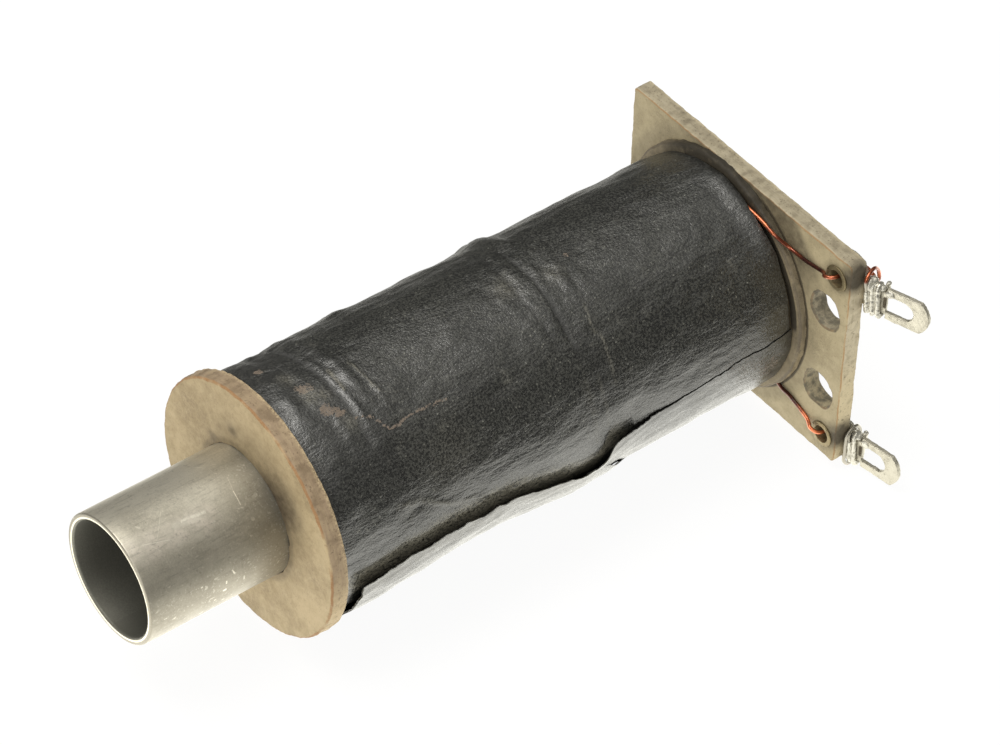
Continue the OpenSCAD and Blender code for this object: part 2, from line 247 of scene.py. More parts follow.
# %% Table
TABLE_Z = cad_box[0][2]
TABLE_HALF = 0.4
TABLE_WHITE = (0.82, 0.82, 0.82, 1)
SEEN_GLOW, MIRRORED_GLOW, SHED_GLOW = 1.04, 1.7, 1.15
SEEN_SHARE, SHED_SHARE = 0.88, 0.95
WIDE_STRIP, WIDE_FALL = (0.02, 0.085), 0.93
CORE_STRIP, CORE_GAIN = (0.008, 0.024), 0.6

table_finish = bpy.data.materials.new("table")
table_finish.use_nodes = True
table_tree = table_finish.node_tree
table_tree.nodes.clear()
seen, mirrored = ray_masks(table_tree)
shed = 1 - seen - mirrored
spot = add_node(table_tree, "ShaderNodeTexCoord").outputs["Object"]
sideways = Dial(table_tree, spot).axis("X")
aside = sideways.math("ABSOLUTE", sideways)
fall_off = 1 - aside.rise(*WIDE_STRIP) * WIDE_FALL + CORE_GAIN * (1 - aside.rise(*CORE_STRIP))
glow = seen * SEEN_GLOW + mirrored * MIRRORED_GLOW * fall_off + shed * SHED_GLOW
share = seen * SEEN_SHARE + mirrored + shed * SHED_SHARE
lit = add_node(table_tree, "ShaderNodeBsdfDiffuse", None, {"Color": TABLE_WHITE})
white = add_node(table_tree, "ShaderNodeEmission", None, {"Color": tinted(seen), "Strength": glow})
mixed = add_node(table_tree, "ShaderNodeMixShader", None,
                 {0: share, 1: lit.outputs[0], 2: white.outputs[0]})
add_node(table_tree, "ShaderNodeOutputMaterial", None, {"Surface": mixed.outputs[0]})

table_mesh = bpy.data.meshes.new("table")
corners = [(x * TABLE_HALF, y * TABLE_HALF, TABLE_Z) for x, y in ((-1, -1), (1, -1), (1, 1), (-1, 1))]
table_mesh.from_pydata(corners, [], [(0, 1, 2, 3)])
table_mesh.materials.append(table_finish)
table = bpy.data.objects.new("table", table_mesh)
bpy.context.scene.collection.objects.link(table)
print("table at", round(TABLE_Z / MM, 2), "mm")

# %% [markdown]
# ## Finishes
# Every finish reads the place on the object in millimetres, so that a grain of a tenth of a millimetre
# is written as one. Noise at several sizes is mixed into colour, gloss and a fine relief.


# %% Finish helpers
def new_finish(name):
    """A material with its shader, and the place on the object in millimetres."""
    material = bpy.data.materials.new(name)
    material.use_nodes = True
    tree = material.node_tree
    shader = tree.nodes["Principled BSDF"]
    place = Dial(tree, add_node(tree, "ShaderNodeTexCoord").outputs["Object"])
    in_mm = place.node("ShaderNodeVectorMath", {"operation": "SCALE"}, {0: place, "Scale": 1 / MM})
    return material, shader, in_mm


def stretch(place, x, y, z):
    return place.node("ShaderNodeVectorMath", {"operation": "MULTIPLY"}, {0: place, 1: (x, y, z)})


def noise(place, size, detail=3.0, roughness=0.55, distortion=0.0):
    """Cloudy noise from 0 to 1, with clouds of about that size in millimetres."""
    sockets = {"Vector": place, "Scale": 1 / size, "Detail": detail, "Roughness": roughness}
    return place.node("ShaderNodeTexNoise", None, {**sockets, "Distortion": distortion})


def cells(place, size):
    """Distance to the nearest of scattered points, about that far apart."""
    return place.node("ShaderNodeTexVoronoi", None, {"Vector": place, "Scale": 1 / size})


def blend(low, high, amount):
    """Colour between two colours."""
    low, high = (c if isinstance(c, Dial) else (*c, 1) for c in (low, high))
    return amount.node("ShaderNodeMix", {"data_type": "RGBA"}, {0: amount, 6: low, 7: high}, 2)


def layered(colour, coats):
    """A colour with further colours laid over it, each by its own mask."""
    for over, amount in coats:
        colour = blend(colour, over, amount)
    return colour


def channels(place, attribute):
    """Red, green and blue of a colour that is painted on a mesh's points."""
    painted = add_node(place.tree, "ShaderNodeAttribute", {"attribute_name": attribute})
    split = add_node(place.tree, "ShaderNodeSeparateColor", None, {"Color": painted.outputs["Color"]})
    return [Dial(place.tree, split.outputs[name]) for name in ("Red", "Green", "Blue")]


def relief(height, depth):
    """Normals of a height from 0 to 1 that is depth millimetres deep."""
    sockets = {"Height": height, "Strength": 1.0, "Distance": depth * MM}
    return height.node("ShaderNodeBump", None, sockets)


def paint(shader, varying, fixed):
    """Link what varies over the surface to the shader, and set what doesn't."""
    for name, dial in varying.items():
        dial.tree.links.new(dial.socket, shader.inputs[name])
    for name, value in fixed.items():
        shader.inputs[name].default_value = value


# %% [markdown]
# The wrapper is a black varnished paper with a fine crepe that runs along the coil. It is dull from
# above and takes a pale sheen where it is seen along its surface. Brown scuffs and pale cracks follow
# the sheet, and so do painted shade in the hollows of its creases and painted light in the hollow under
# its lifted edge, so they come from an attribute painted on its own points.


# %% Finish of the wrapper
VARNISH_DEEP, VARNISH_LIGHT = (0.001, 0.0012, 0.001), (0.032, 0.0325, 0.027)
SMUDGE, SPECK, DUST = (0.16, 0.155, 0.13), (0.2, 0.2, 0.17), (0.3, 0.29, 0.25)
HOLLOW, SCUFF, CRACK_AND_GAP_LIGHT = (0.003, 0.003, 0.003), (0.2, 0.135, 0.085), (0.3, 0.28, 0.22)
VARNISH_IOR = 2.2


def wrapper_finish():
    material, shader, place = new_finish("black_wrapper")
    crepe = noise(stretch(place, 1, 0.35, 1), 0.45, 3.0, 0.6)
    grain = noise(place, 0.22, 2.0, 0.6)
    rough_grain = grain.rise(0.4, 0.62)
    patches = noise(place, 6.0, 4.0, 0.6)
    specks = 1 - cells(place, 0.7).rise(0.07, 0.17)
    dust = (1 - cells(place, 1.3).rise(0.02, 0.08)) * grain.rise(0.42, 0.6)
    smudges = noise(place, 2.4, 4.0, 0.7, 0.4).rise(0.55, 0.75)
    smudges = smudges * (crepe * 0.5 + grain * 0.5).rise(0.4, 0.62)
    tan, pale, dark = channels(place, "wear")
    tone = (crepe * 0.25 + rough_grain * 0.5 + patches * 0.4).rise(0.3, 0.85)
    torn = crepe * 0.6 + grain * 0.6 - 0.6
    scuffed = (tan + torn * 1.6).rise(0.38, 0.62)
    dulled = dark.rise(0.3, 0.6)
    colour = layered(blend(VARNISH_DEEP, VARNISH_LIGHT, tone), [
        (SMUDGE, smudges * 0.42),
        (SPECK, specks * patches.rise(0.35, 0.6) * 0.7),
        (DUST, dust * 0.6),
        # painted shade in the crease hollows, a darker upper side near both ends, and a dark crack
        (HOLLOW, dark),
        (SCUFF, scuffed * (0.1 + grain * 0.95)),
        # pale cracks and lines, and painted light in the hollow under the lifted edge
        (CRACK_AND_GAP_LIGHT, pale * (crepe * 0.4 + grain).rise(0.45, 0.85)),
    ])
    varying = {
        "Base Color": colour,
        "Roughness": 0.25 + rough_grain * 0.12 + patches * 0.1 + dark * 0.1 + dulled * 0.25 + scuffed * 0.3,
        "Normal": relief(crepe * 0.35 + grain * 0.17, 0.3),
    }
    paint(shader, varying, {"IOR": VARNISH_IOR})
    return material


black_wrapper = wrapper_finish()
print("made", black_wrapper.name)

# %% [markdown]
# Vulcanised fibre is cotton paper pressed to a horny board. Its faces are mottled and full of short dark
# hairs, and its cut edges show the layers. Age and solder smoke have stained it, so a few named places
# on the plate are darker than the rest. Painted shade and shadow darken other named places, the walls
# of the holes are painted dark for shade and soot, and the lower part of each cut edge is painted
# lighter, as painted light from the table below.


# %% Marks on a board
def turn(place, rotation, scale):
    """The place, turned by degrees and then scaled, for grain that runs at a slant."""
    radians = tuple(math.radians(a) for a in rotation)
    sockets = {"Vector": place, "Rotation": radians, "Scale": tuple(1 / s for s in scale)}
    return place.node("ShaderNodeMapping", {"vector_type": "TEXTURE"}, sockets)


def near(place, point, inner, outer):
    """1 within an inner distance of a point, 0 past an outer one."""
    away = place.node("ShaderNodeVectorMath", {"operation": "DISTANCE"}, {0: place, 1: point}, "Value")
    return 1 - away.rise(inner, outer)


def near_line(place, start, end, inner, outer):
    """1 within an inner distance of a straight line between two points, 0 past an outer one."""
    start, along = Vector(start), Vector(end) - Vector(start)
    off = place.node("ShaderNodeVectorMath", {"operation": "SUBTRACT"}, {0: place, 1: start})
    share = off.node("ShaderNodeVectorMath", {"operation": "DOT_PRODUCT"},
                     {0: off, 1: along / along.length_squared}, "Value")
    share = share.math("MINIMUM", share.math("MAXIMUM", share, 0.0), 1.0)
    foot = share.node("ShaderNodeVectorMath", {"operation": "SCALE"}, {0: along, "Scale": share})
    away = foot.node("ShaderNodeVectorMath", {"operation": "DISTANCE"}, {0: off, 1: foot}, "Value")
    return 1 - away.rise(inner, outer)


def facing_y(place):
    """1 on faces square to the bore and 0 on the edges of the plates, then 1 on front faces only."""
    normal = add_node(place.tree, "ShaderNodeNewGeometry").outputs["Normal"]
    along = Dial(place.tree, normal).axis("Y")
    return along.math("ABSOLUTE", along), 1 - along.rise(-0.9, -0.1)


def ring_mark(place, radius, half, angles):
    """1 near a ring about the bore, between two angles in degrees from the top."""
    x, z = place.axis("X"), place.axis("Z")
    away = (x * x + z * z) ** 0.5 - radius
    first, last = (math.radians(a) for a in angles)
    angle = x.math("ARCTAN2", x, z)
    ramp = 0.08 + half * 0.14
    reach = angle.rise(first, first + ramp) * (1 - angle.rise(last - ramp, last))
    return (1 - away.math("ABSOLUTE", away).rise(half * 0.4, half)) * reach


def toned(colour, times):
    """A colour made lighter or darker."""
    return [min(1, times * c) for c in colour]


# %% [markdown]
# One recipe makes all three boards. It takes five colours: the light and the deep tone of the faces, the
# cut edge, the dirt, and the line along the front edge. Each stain or painted shadow is a spot or a line
# with its inner and outer reach and its depth, and each ring is such a mark about the bore. All of them
# darken towards one colour, which serves for soot and for painted shade.

# %% Finish of the fibre boards
# Colour of the hole walls: painted shade inside the holes, with soot.
HOLE_WALL = (0.13, 0.118, 0.088)
SOOT_AND_SHADE_TONE = 0.28
DARKEST = 0.92


def fibre_finish(name, colours, rub, stains_and_shadows, rings):
    light, deep, edge, grime, line = colours
    soot_and_shade = toned(grime, SOOT_AND_SHADE_TONE)
    material, shader, place = new_finish(name)
    clouds = noise(place, 5.0, 5.0, 0.6)
    mottle = noise(place, 0.9, 4.0, 0.6)
    grain = noise(place, 0.2, 3.0, 0.6)
    hairs = noise(turn(place, (0, 28, 0), (1, 1, 0.16)), 0.22, 3.0, 0.6, 0.8)
    hairs_across = noise(turn(place, (0, -47, 0), (1, 1, 0.14)), 0.2, 3.0, 0.6, 0.8)
    face, front = facing_y(place)
    front_line, burr, wall = channels(place, "edge")
    layers = noise(stretch(place, 0.1, 1, 0.1), 0.2, 2.0)
    colour = blend(light, deep, (clouds * 0.55 + mottle * 0.35 + grain * 0.2).rise(0.4, 0.7))
    colour = blend(colour, grime, clouds.rise(0.5, 0.75) * grain.rise(0.4, 0.65) * 0.5)
    strands = hairs.rise(0.6, 0.75) + hairs_across.rise(0.62, 0.76)
    colour = blend(colour, grime, strands * face * 0.28)
    side = 1 - face.rise(0.2, 0.8)
    colour = blend(colour, edge, side * (0.6 + layers.rise(0.35, 0.7) * 0.3))
    rubbed = noise(stretch(place, 1, 0.5, 1), 1.3, 3.0, 0.6)
    # Painted light: the lower part of each cut edge is lighter and less rubbed, for the light of the table
    # below.
    low = 1 - place.axis("Z").rise(-5, 3)
    colour = blend(colour, grime, side * rubbed.rise(0.45, 0.68) * rub * (1 - low * 0.6))
    colour = blend(colour, toned(light, 1.35), side * low * 0.8)
    colour = blend(colour, grime, side * mottle.rise(0.48, 0.7) * 0.34)
    specks = noise(place, 0.28, 2.0).rise(0.6, 0.7)
    colour = blend(colour, grime, specks * (0.35 + side * 0.4))
    lined = front_line.rise(0.2, 0.8) * clouds.rise(0.3, 0.5)
    colour = blend(colour, line, lined * (0.35 + grain * 0.7))
    colour = blend(colour, toned(light, 1.3), burr * grain.rise(0.4, 0.62) * 0.7)
    # The walls of the holes are painted dark: shade inside the holes, with soot.
    colour = blend(colour, HOLE_WALL, wall * (0.4 + mottle.rise(0.35, 0.65) * 0.55))
    uneven = mottle * 0.8 + 0.5
    # Soot and dirt stains, and painted shade and shadow, all darken towards the same colour.
    marks = [(near if len(spot) == 3 else near_line)(place, *spot) * depth for spot, depth in stains_and_shadows]
    marks += [ring_mark(place, *ring) * front * depth for ring, depth in rings]
    for mark in marks:
        mark = mark * uneven
        colour = blend(colour, soot_and_shade, mark.math("MINIMUM", mark, DARKEST))
    height = hairs * 0.3 + hairs_across * 0.3 + mottle * 0.4 + grain * 0.25 + side * layers * 0.5
    varying = {"Base Color": colour, "Roughness": 0.55 + mottle * 0.25, "Normal": relief(height, 0.028)}
    paint(shader, varying, {"Specular IOR Level": 0.4})
    return material


# %% [markdown]
# Each board has its own colours and marks, read off the picture. The flange is browned round the tube
# by painted contact shade and dirt, with the tube's shadow and some dirt painted above and to its right.
# The plate is sooty beside the lugs, with painted shade and dirt round the washer and a painted shadow
# above it. The washer is dark all over, with painted shade on its upper part and in the gap behind the
# wrapper.

# %% Boards, their stains and their painted shade
FULL_TURN = (-220, 220)
plate_lo, plate_hi = box_mm("terminal_plate")
flange_lo, flange_hi = box_mm("front_flange")
tube_lo, tube_hi = box_mm("core_tube")
washer_lo, washer_hi = box_mm("rear_washer")
eyelet_at = {lead: sum(box_mm(lead + "_eyelet")) / 2 for lead in ("start", "finish")}
NOSE_R = mounts["tube_nose"]["r_mm"]
BORE_R = mounts["plunger_bore"]["r_mm"]

FLANGE_COLOURS = ((0.47, 0.37, 0.222), (0.34, 0.262, 0.15), (0.29, 0.21, 0.14), (0.16, 0.112, 0.066),
                  (0.28, 0.13, 0.045))
# The first two are the tube's shadow with some dirt, painted above and right of the tube; the last two are
# spots of dirt.
flange_shadows_and_stains = [
    (((2, flange_lo[1], 3.5), 5.5, 9.6), 0.32),
    (((5.6, flange_lo[1], 5.2), 1.0, 5.0), 0.8),
    (((-2.3, flange_lo[1], 9.0), 0.1, 1.3), 0.5),
    (((-5.6, flange_lo[1], 5.6), 0.1, 1.2), 0.5),
]
# Painted contact shade with dirt, where the tube meets the flange.
flange_shade_and_dirt_rings = [((NOSE_R, 1.1, FULL_TURN), 0.35)]
flange_fibre = fibre_finish("flange_fibre", FLANGE_COLOURS, 0.6, flange_shadows_and_stains, flange_shade_and_dirt_rings)

WASHER_R = washer_hi[0] - 0.3
PLATE_COLOURS = ((0.47, 0.395, 0.25), (0.36, 0.3, 0.185), (0.6, 0.53, 0.39), (0.18, 0.143, 0.09),
                 (0.36, 0.2, 0.08))
# Round the washer: painted shade with dirt, a thin painted contact shadow at its rim, and a painted shadow of
# the coil above it.
plate_shade_and_dirt_rings = [((WASHER_R, 2.4, FULL_TURN), 0.3), ((WASHER_R, 0.4, (20, 160)), 1.1),
               ((WASHER_R + 1.5, 2.8, (-30, 75)), 0.75)]
plate_mid = (plate_lo[1] + plate_hi[1]) / 2
top_edge = [(x, plate_mid, plate_hi[2] + 0.4) for x in (plate_lo[0], plate_hi[0])]
plate_stains = [((*top_edge, 0.6, 1.4), 0.45)]
for lead, depth in (("start", 1.2), ("finish", 1.4)):
    x, _, z = eyelet_at[lead]
    plate_stains.append((((plate_hi[0] + 0.3, plate_lo[1] + 0.9, z + 1.0), 0.5, 2.8), depth))
    plate_stains.append((((x, plate_lo[1], z), 0.7, 2.4), 0.6))
plate_fibre = fibre_finish("plate_fibre", PLATE_COLOURS, 0.3, plate_stains, plate_shade_and_dirt_rings)

WASHER_COLOURS = ((0.27, 0.22, 0.14), (0.17, 0.138, 0.088), (0.2, 0.165, 0.11), (0.08, 0.066, 0.045),
                  (0.1, 0.08, 0.055))
# Painted shade over the washer's upper part, and in the gap behind the wrapper's end.
washer_top_shade = [(((0, washer_lo[1], 14), 5, 13), 1.05)]
washer_gap_shade = [((13.0, 0.6, (20, 90)), 2.2)]
washer_fibre = fibre_finish("washer_fibre", WASHER_COLOURS, 0.3, washer_top_shade, washer_gap_shade)
print("made", flange_fibre.name, plate_fibre.name, washer_fibre.name)

# %% [markdown]
# The tube is drawn metal, dulled by years of handling, with fine scratches in many directions and a few
# marks of its own. A mark on a round piece is easier to place when the surface is rolled out flat, so the
# place is first turned into two lengths: round from the top, and along the bore.


# %% Marks on the tube
def unrolled(place, radius):
    """The place on a round piece, rolled out flat: round from the top, then along the bore."""
    x, y, z = (place.axis(name) for name in "XYZ")
    return x.node("ShaderNodeCombineXYZ", None, {"X": x.math("ARCTAN2", x, z) * radius, "Y": y})


def scratches(place, size, rotation):
    """Thin straight marks at a slant."""
    return noise(turn(place, rotation, (1, 0.04, 1)), size, 1.0, 0.4).rise(0.7, 0.74)


def tube_line(flat, start, end, inner, outer):
    """1 along a line between two places: degrees from the top, and millimetres from the mouth."""
    ends = [(math.radians(a) * NOSE_R, tube_lo[1] + d, 0) for a, d in (start, end)]
    return near_line(flat, *ends, inner, outer)


# Both ends of each mark, as degrees from the top and millimetres from the mouth, its half width and strength
tube_marks = [
    ((9, 13.4), (22, 13.0), 0.04, 0.3), ((22, 13.0), (34, 12.9), 0.07, 0.8),
    ((29, 3.4), (9, 5.5), 0.04, 0.35), ((27, 1.9), (33, 4.6), 0.06, 0.6), ((31, 2.6), (38, 3.3), 0.05, 0.4),
    ((25, 5.8), (28, 8.4), 0.5, 0.28), ((25, 7.9), (26, 9.2), 0.26, 0.55), ((24, 6.7), (24, 7.7), 0.2, 0.4),
    ((81, 6), (81, 6.1), 0.12, 0.8), ((97, 8.6), (97, 8.8), 0.18, 0.9), ((88, 8.9), (90, 8.9), 0.12, 0.7),
    ((80, 9.7), (84, 9.9), 0.12, 0.6), ((104, 7.6), (104, 7.7), 0.12, 0.6), ((92, 11), (96, 11), 0.1, 0.5),
]


def tube_scratches(place, flat, clouds, grain):
    """All fine scratches and single marks together."""
    fine = scratches(place, 0.5, (0, 20, 24)) + scratches(place, 0.6, (24, 0, -48))
    marks = fine * clouds.rise(0.45, 0.6) * 0.3
    for start, end, half, strength in tube_marks:
        marks = marks + tube_line(flat, start, end, half * 0.3, half) * strength
    marks = marks * (0.55 + grain.rise(0.35, 0.6) * 0.9)
    return marks.math("MINIMUM", marks, 0.85)


print("the tube has", len(tube_marks), "marks")

# %% [markdown]
# The tube's tone changes with its place, as painted light and shade: it is painted bright on top, with a
# painted highlight in a patch near the mouth, and painted darker underneath, near the flange and in the
# bore. The lip is a dark ring with a painted highlight on its inner edge.

# %% Finish of the tube
# Tones of the tube. Some are painted light and shade: darker underneath, near the flange and in the bore,
# lighter on top, in a patch near the mouth and on the inner edge of the lip.
TUBE_TONES = {
    "drawn": (0.69, 0.65, 0.55), "worn": (0.48, 0.447, 0.37), "under": (0.27, 0.25, 0.205),
    "by_flange": (0.17, 0.16, 0.13), "top": (0.88, 0.84, 0.73), "rubbed": (0.92, 0.84, 0.74),
    "streak": (0.2, 0.185, 0.15), "pock": (0.9, 0.86, 0.76), "bright": (0.8, 0.77, 0.68),
    "lip": (0.26, 0.24, 0.195), "lip_edge": (0.85, 0.8, 0.66), "scratch": (0.95, 0.91, 0.8),
    "bore": (0.17, 0.168, 0.145),
}


def tube_finish():
    material, shader, place = new_finish("drawn_tube")
    clouds = noise(place, 3.2, 4.0, 0.55)
    draw = noise(stretch(place, 1, 0.06, 1), 0.45, 3.0)
    grain = noise(place, 0.17, 2.0)
    blotches = noise(place, 1.3, 4.0, 0.65)
    dull = noise(place, 0.42, 4.0, 0.7).rise(0.5, 0.75) * blotches.rise(0.42, 0.6)
    bright = noise(place, 0.4, 2.0, 0.5, 0.6).rise(0.69, 0.78)
    streaks = noise(stretch(place, 1, 0.14, 1), 0.32, 4.0, 0.65)
    pocks = noise(place, 0.3, 3.0, 0.7)
    worn = (clouds * 0.6 + draw * 0.2 + grain * 0.35).rise(0.38, 0.78)
    across = stretch(place, 1, 0, 1)
    radius = across.node("ShaderNodeVectorMath", {"operation": "LENGTH"}, {0: across}, "Value")
    # The bore is painted dark, as shade inside the tube.
    inside = 1 - radius.rise(BORE_R + 0.16, BORE_R + 0.26)
    outside = radius.rise(NOSE_R - 0.3, NOSE_R - 0.1)
    # The inner edge of the lip takes a painted highlight.
    lip_edge = 1 - radius.rise(BORE_R + 0.34, BORE_R + 0.44)
    mouth = 1 - place.axis("Y").rise(tube_lo[1], tube_lo[1] + 0.2)
    by_flange = place.axis("Y").rise(tube_lo[1] + 10, tube_lo[1] + 16.5)
    flat = unrolled(place, NOSE_R)
    from_top = flat.axis("X")
    # Painted shade underneath, and near the flange on the side towards the lugs.
    below = from_top.math("ABSOLUTE", from_top).rise(NOSE_R * 0.75, NOSE_R * 1.6)
    shaded = by_flange * from_top.rise(-NOSE_R * 0.4, 0) * (1 - from_top.rise(NOSE_R, NOSE_R * 1.6))
    # Painted light: the top is lighter, away from the flange.
    top = (1 - from_top.rise(-NOSE_R * 0.3, 0)) * (1 - by_flange)
    # A painted highlight in a patch near the mouth.
    rubbed = tube_line(flat, (31, 1), (31, 9), 0.5, 2.2)
    coats = [
        ("under", below * 0.78),
        ("by_flange", shaded * 0.62),
        ("top", top * 0.5),
        ("rubbed", rubbed * (0.2 + blotches.rise(0.4, 0.6) * 0.4)),
        ("streak", streaks.rise(0.5, 0.72) * (1 - inside) * 0.3),
        ("pock", pocks.rise(0.56, 0.72) * outside * 0.3),
        ("streak", dull * (1 - inside) * 0.5),
        ("bright", bright * outside * below * 0.5),
        ("lip", mouth * 0.85),
        ("lip_edge", mouth * lip_edge),
        ("scratch", tube_scratches(place, flat, clouds, grain) * outside),
        ("bore", inside * (0.85 + grain * 0.2)),
    ]
    colour = blend(TUBE_TONES["drawn"], TUBE_TONES["worn"], worn)
    colour = layered(colour, [(TUBE_TONES[tone], amount) for tone, amount in coats])
    roughness = 0.32 + clouds * 0.16 + grain * 0.12 + inside * 0.15
    height = draw * 0.12 + grain * 0.25 + (clouds * 0.4 + blotches * 0.3) * (1 - inside)
    varying = {"Base Color": colour, "Roughness": roughness, "Normal": relief(height, 0.03)}
    paint(shader, varying, {"Metallic": 0.85})
    return material


drawn_tube = tube_finish()
print("made", drawn_tube.name, "with", len(drawn_tube.node_tree.nodes), "nodes")

# %% [markdown]
# Tin, solder and brass share a recipe: two tones of metal in clouds, pits, and a gloss that varies with
# the clouds. The tinned lugs and the solder also take lines of painted shade, once the lugs are placed.

# %% Finish of tin, solder and brass
# Colour and reach of the lines of painted shade on the lugs
PAINTED_SLOT_SHADE = (0.06, 0.045, 0.025)
SLOT_SHADE_REACH = (0.14, 0.36)


def pitted_finish(name, light, deep, gloss, pit_size, depth, slot_shade=()):
    """Pitted metal from two tones, its gloss, the size of its pits, their depth, and lines of painted shade.
    """
    material, shader, place = new_finish(name)
    clouds = noise(place, 1.1, 4.0, 0.6)
    pits = noise(place, pit_size, 2.0).rise(0.58, 0.75)
    grain = noise(place, 0.12, 3.0)
    colour = blend(light, deep, (clouds * 0.7 + pits * 0.3 + grain * 0.2).rise(0.45, 0.85))
    slot_shading = [near_line(place, start, end, *SLOT_SHADE_REACH) * (0.45 + grain) for start, end in slot_shade]
    varying = {
        "Base Color": layered(colour, [(PAINTED_SLOT_SHADE, amount) for amount in slot_shading]),
        "Roughness": gloss + clouds.rise(0.35, 0.75) * 0.3 + grain * 0.12,
        "Metallic": 0.84 - clouds.rise(0.5, 0.8) * 0.25,
        "Normal": relief(clouds * 0.5 + grain * 0.35 - pits * 0.3, depth),
    }
    paint(shader, varying, {})
    return material


eyelet_brass = pitted_finish("eyelet_brass", light=(0.24, 0.195, 0.11), deep=(0.075, 0.06, 0.038),
                             gloss=0.36, pit_size=0.4, depth=0.03)
print("made", eyelet_brass.name)

# %% [markdown]
# The wire is copper under a clear enamel that has browned in places. It is painted dim where it lies in
# the shade of the wrapper and the plate, and silvery where solder has crept along it.

# %% Finish of the copper wire
COPPER_BRIGHT, COPPER_BROWN = (0.72, 0.2, 0.08), (0.22, 0.05, 0.022)
COPPER_DIM, COPPER_TINNED = (0.045, 0.012, 0.01), (0.36, 0.335, 0.28)


def copper_finish():
    material, shader, place = new_finish("enamelled_copper")
    browned = noise(place, 3.2, 3.0, 0.6).rise(0.42, 0.62)
    grain = noise(place, 0.2, 2.0)
    plate_edge, front = plate_hi[0], plate_lo[1]
    start_x, _, start_z = eyelet_at["start"]
    finish_x, _, finish_z = eyelet_at["finish"]
    soldered = near(place, (plate_edge + 0.6, 0.6, start_z - 1.0), 2.6, 3.2)
    soldered = soldered + near(place, (plate_edge + 0.7, -0.6, finish_z - 1.0), 1.4, 1.8)
    # Painted shade: the wire is darker in these places.
    dim = near(place, (finish_x - 3.4, front, finish_z - 0.6), 1.3, 2.2)
    dim = dim + near(place, (start_x - 5.5, front, start_z + 2.5), 1.4, 3.6)
    dim = dim + near(place, (plate_edge + 0.1, 0.3, finish_z - 0.6), 0.7, 1.5)
    coats = [(COPPER_DIM, dim * (0.75 + grain * 0.3)), (COPPER_TINNED, soldered)]
    varying = {
        "Base Color": layered(blend(COPPER_BRIGHT, COPPER_BROWN, browned), coats),
        "Roughness": 0.24 + grain * 0.2,
        "Normal": relief(grain, 0.006),
    }
    paint(shader, varying, {"Metallic": 0.85, "Coat Weight": 0.6, "Coat Roughness": 0.12})
    return material


enamelled_copper = copper_finish()
print("made", enamelled_copper.name)

# %% [markdown]
# The papers under the wrapper are brown with varnish. Only a glimpse of one shows, so the recipe is short.

# %% Finish of the inner papers
PAPER_LIGHT, PAPER_DEEP = (0.1, 0.075, 0.05), (0.035, 0.028, 0.022)


def paper_finish():
    material, shader, place = new_finish("varnished_paper")
    strands = noise(stretch(place, 1, 0.3, 1), 0.3, 4.0)
    clouds = noise(place, 4.0, 3.0)
    colour = blend(PAPER_LIGHT, PAPER_DEEP, (strands * 0.5 + clouds * 0.5).rise(0.35, 0.65))
    varying = {"Base Color": colour, "Roughness": 0.6 + strands * 0.2, "Normal": relief(strands, 0.02)}
    paint(shader, varying, {})
    return material


varnished_paper = paper_finish()
print("made", varnished_paper.name)

# %% [markdown]
# ## The black wrapper
# The wrapper is one sheet, wound once round the coil with a lap. Its free edge comes up from underneath
# on the side of the lugs: it lies flat near the plate, is torn in the middle, and stands off along the
# front half. Cloth simulation could wrap a sheet round the coil, but it wouldn't tear and crease where
# this one has, so the shape is written down as one long grid. The columns run round the coil from the free
# edge to the hidden inner end, and the rows run along it. Angles are measured from the top towards the
# lugs, and distances from the plate's front face, because that is how they were read off the picture.

# %% Shape of the sheet
# Thickness of the sheet, height of its outer face over the inner wrap, and its gap to the flange
SHEET_T, SKIN_UP, FLANGE_GAP = 0.2, 0.42, 0.05
PLATE_FRONT = plate_lo[1]
FRONT_D = PLATE_FRONT - box_mm("outer_wrap")[0][1] - FLANGE_GAP
SKIN_R = box_mm("inner_wrap")[1][0] + SKIN_UP
# Degrees of the lap that are torn short at the flange, how short, and degrees of the hidden inner end
LAP, TORN_FRONT, INNER_LAP = 30.0, 2.2, 40.0

# Free edge: distance from the plate, and angle
free_edge = np.array([
    (1, 86), (5.6, 86.5), (9.7, 88), (15, 90), (18.8, 92), (21, 92.6), (23, 92.8), (24.4, 93.6), (25.2, 95.5),
    (25.8, 99.8), (26.3, 104), (27, 105.5), (27.5, 104), (28.9, 104.6), (30.6, 101), (32.4, 98.8),
    (34.5, 96.8), (36.6, 94.8), (38.3, 93.4), (41.7, 93.8), (45.7, 93.1), (49.6, 94.6), (51.6, 95.7),
    (54.3, 98.4), (57, 100.2),
])
# How far the sheet stands off at its free edge, and 30 degrees past it
edge_lift = np.array([(15, 0), (18, 0.1), (21, 0.3), (24, 0.7), (27, 0.8), (45, 0.8), (57, 0.85)])
low_lift = np.array([
    (20.5, 0), (24, 0.05), (26.5, 0.3), (28, 0.6), (30, 0.4), (33, 0.2), (36, 0.03), (44, 0.03),
    (47, 0.16), (50, 0.3), (53, 0.48), (57, 0.5),
])
# Torn tongue that points back along the coil: distance, angles of its two edges, and stand-off
tongue = np.array([
    (28, 106, 134, 0.62), (26.6, 107, 133, 0.6), (25.2, 110, 132, 0.56), (23.8, 115, 131, 0.52),
    (22.6, 120, 130, 0.36), (21.4, 124, 129, 0.2), (20.5, 127, 128, 0.06),
])

# Rear end: degrees past the free edge, and distance from the plate
rear_end = np.array([
    (0, 1.15), (12, 1), (250, 0.9), (264, 1), (290, 1.1), (300, 1.45), (314, 1.45), (321, 1.3), (333, 1.36),
    (344, 1.55), (400, 1.55),
])
print("sheet reaches from", rear_end[0, 1], "to", round(FRONT_D, 2), "mm from the plate")

# %% [markdown]
# The creases run round the coil. Each one is a soft ridge or hollow that follows a line and fades out past
# both ends. A fold modelled by hand would look the same, but a height is easier to set and to darken.

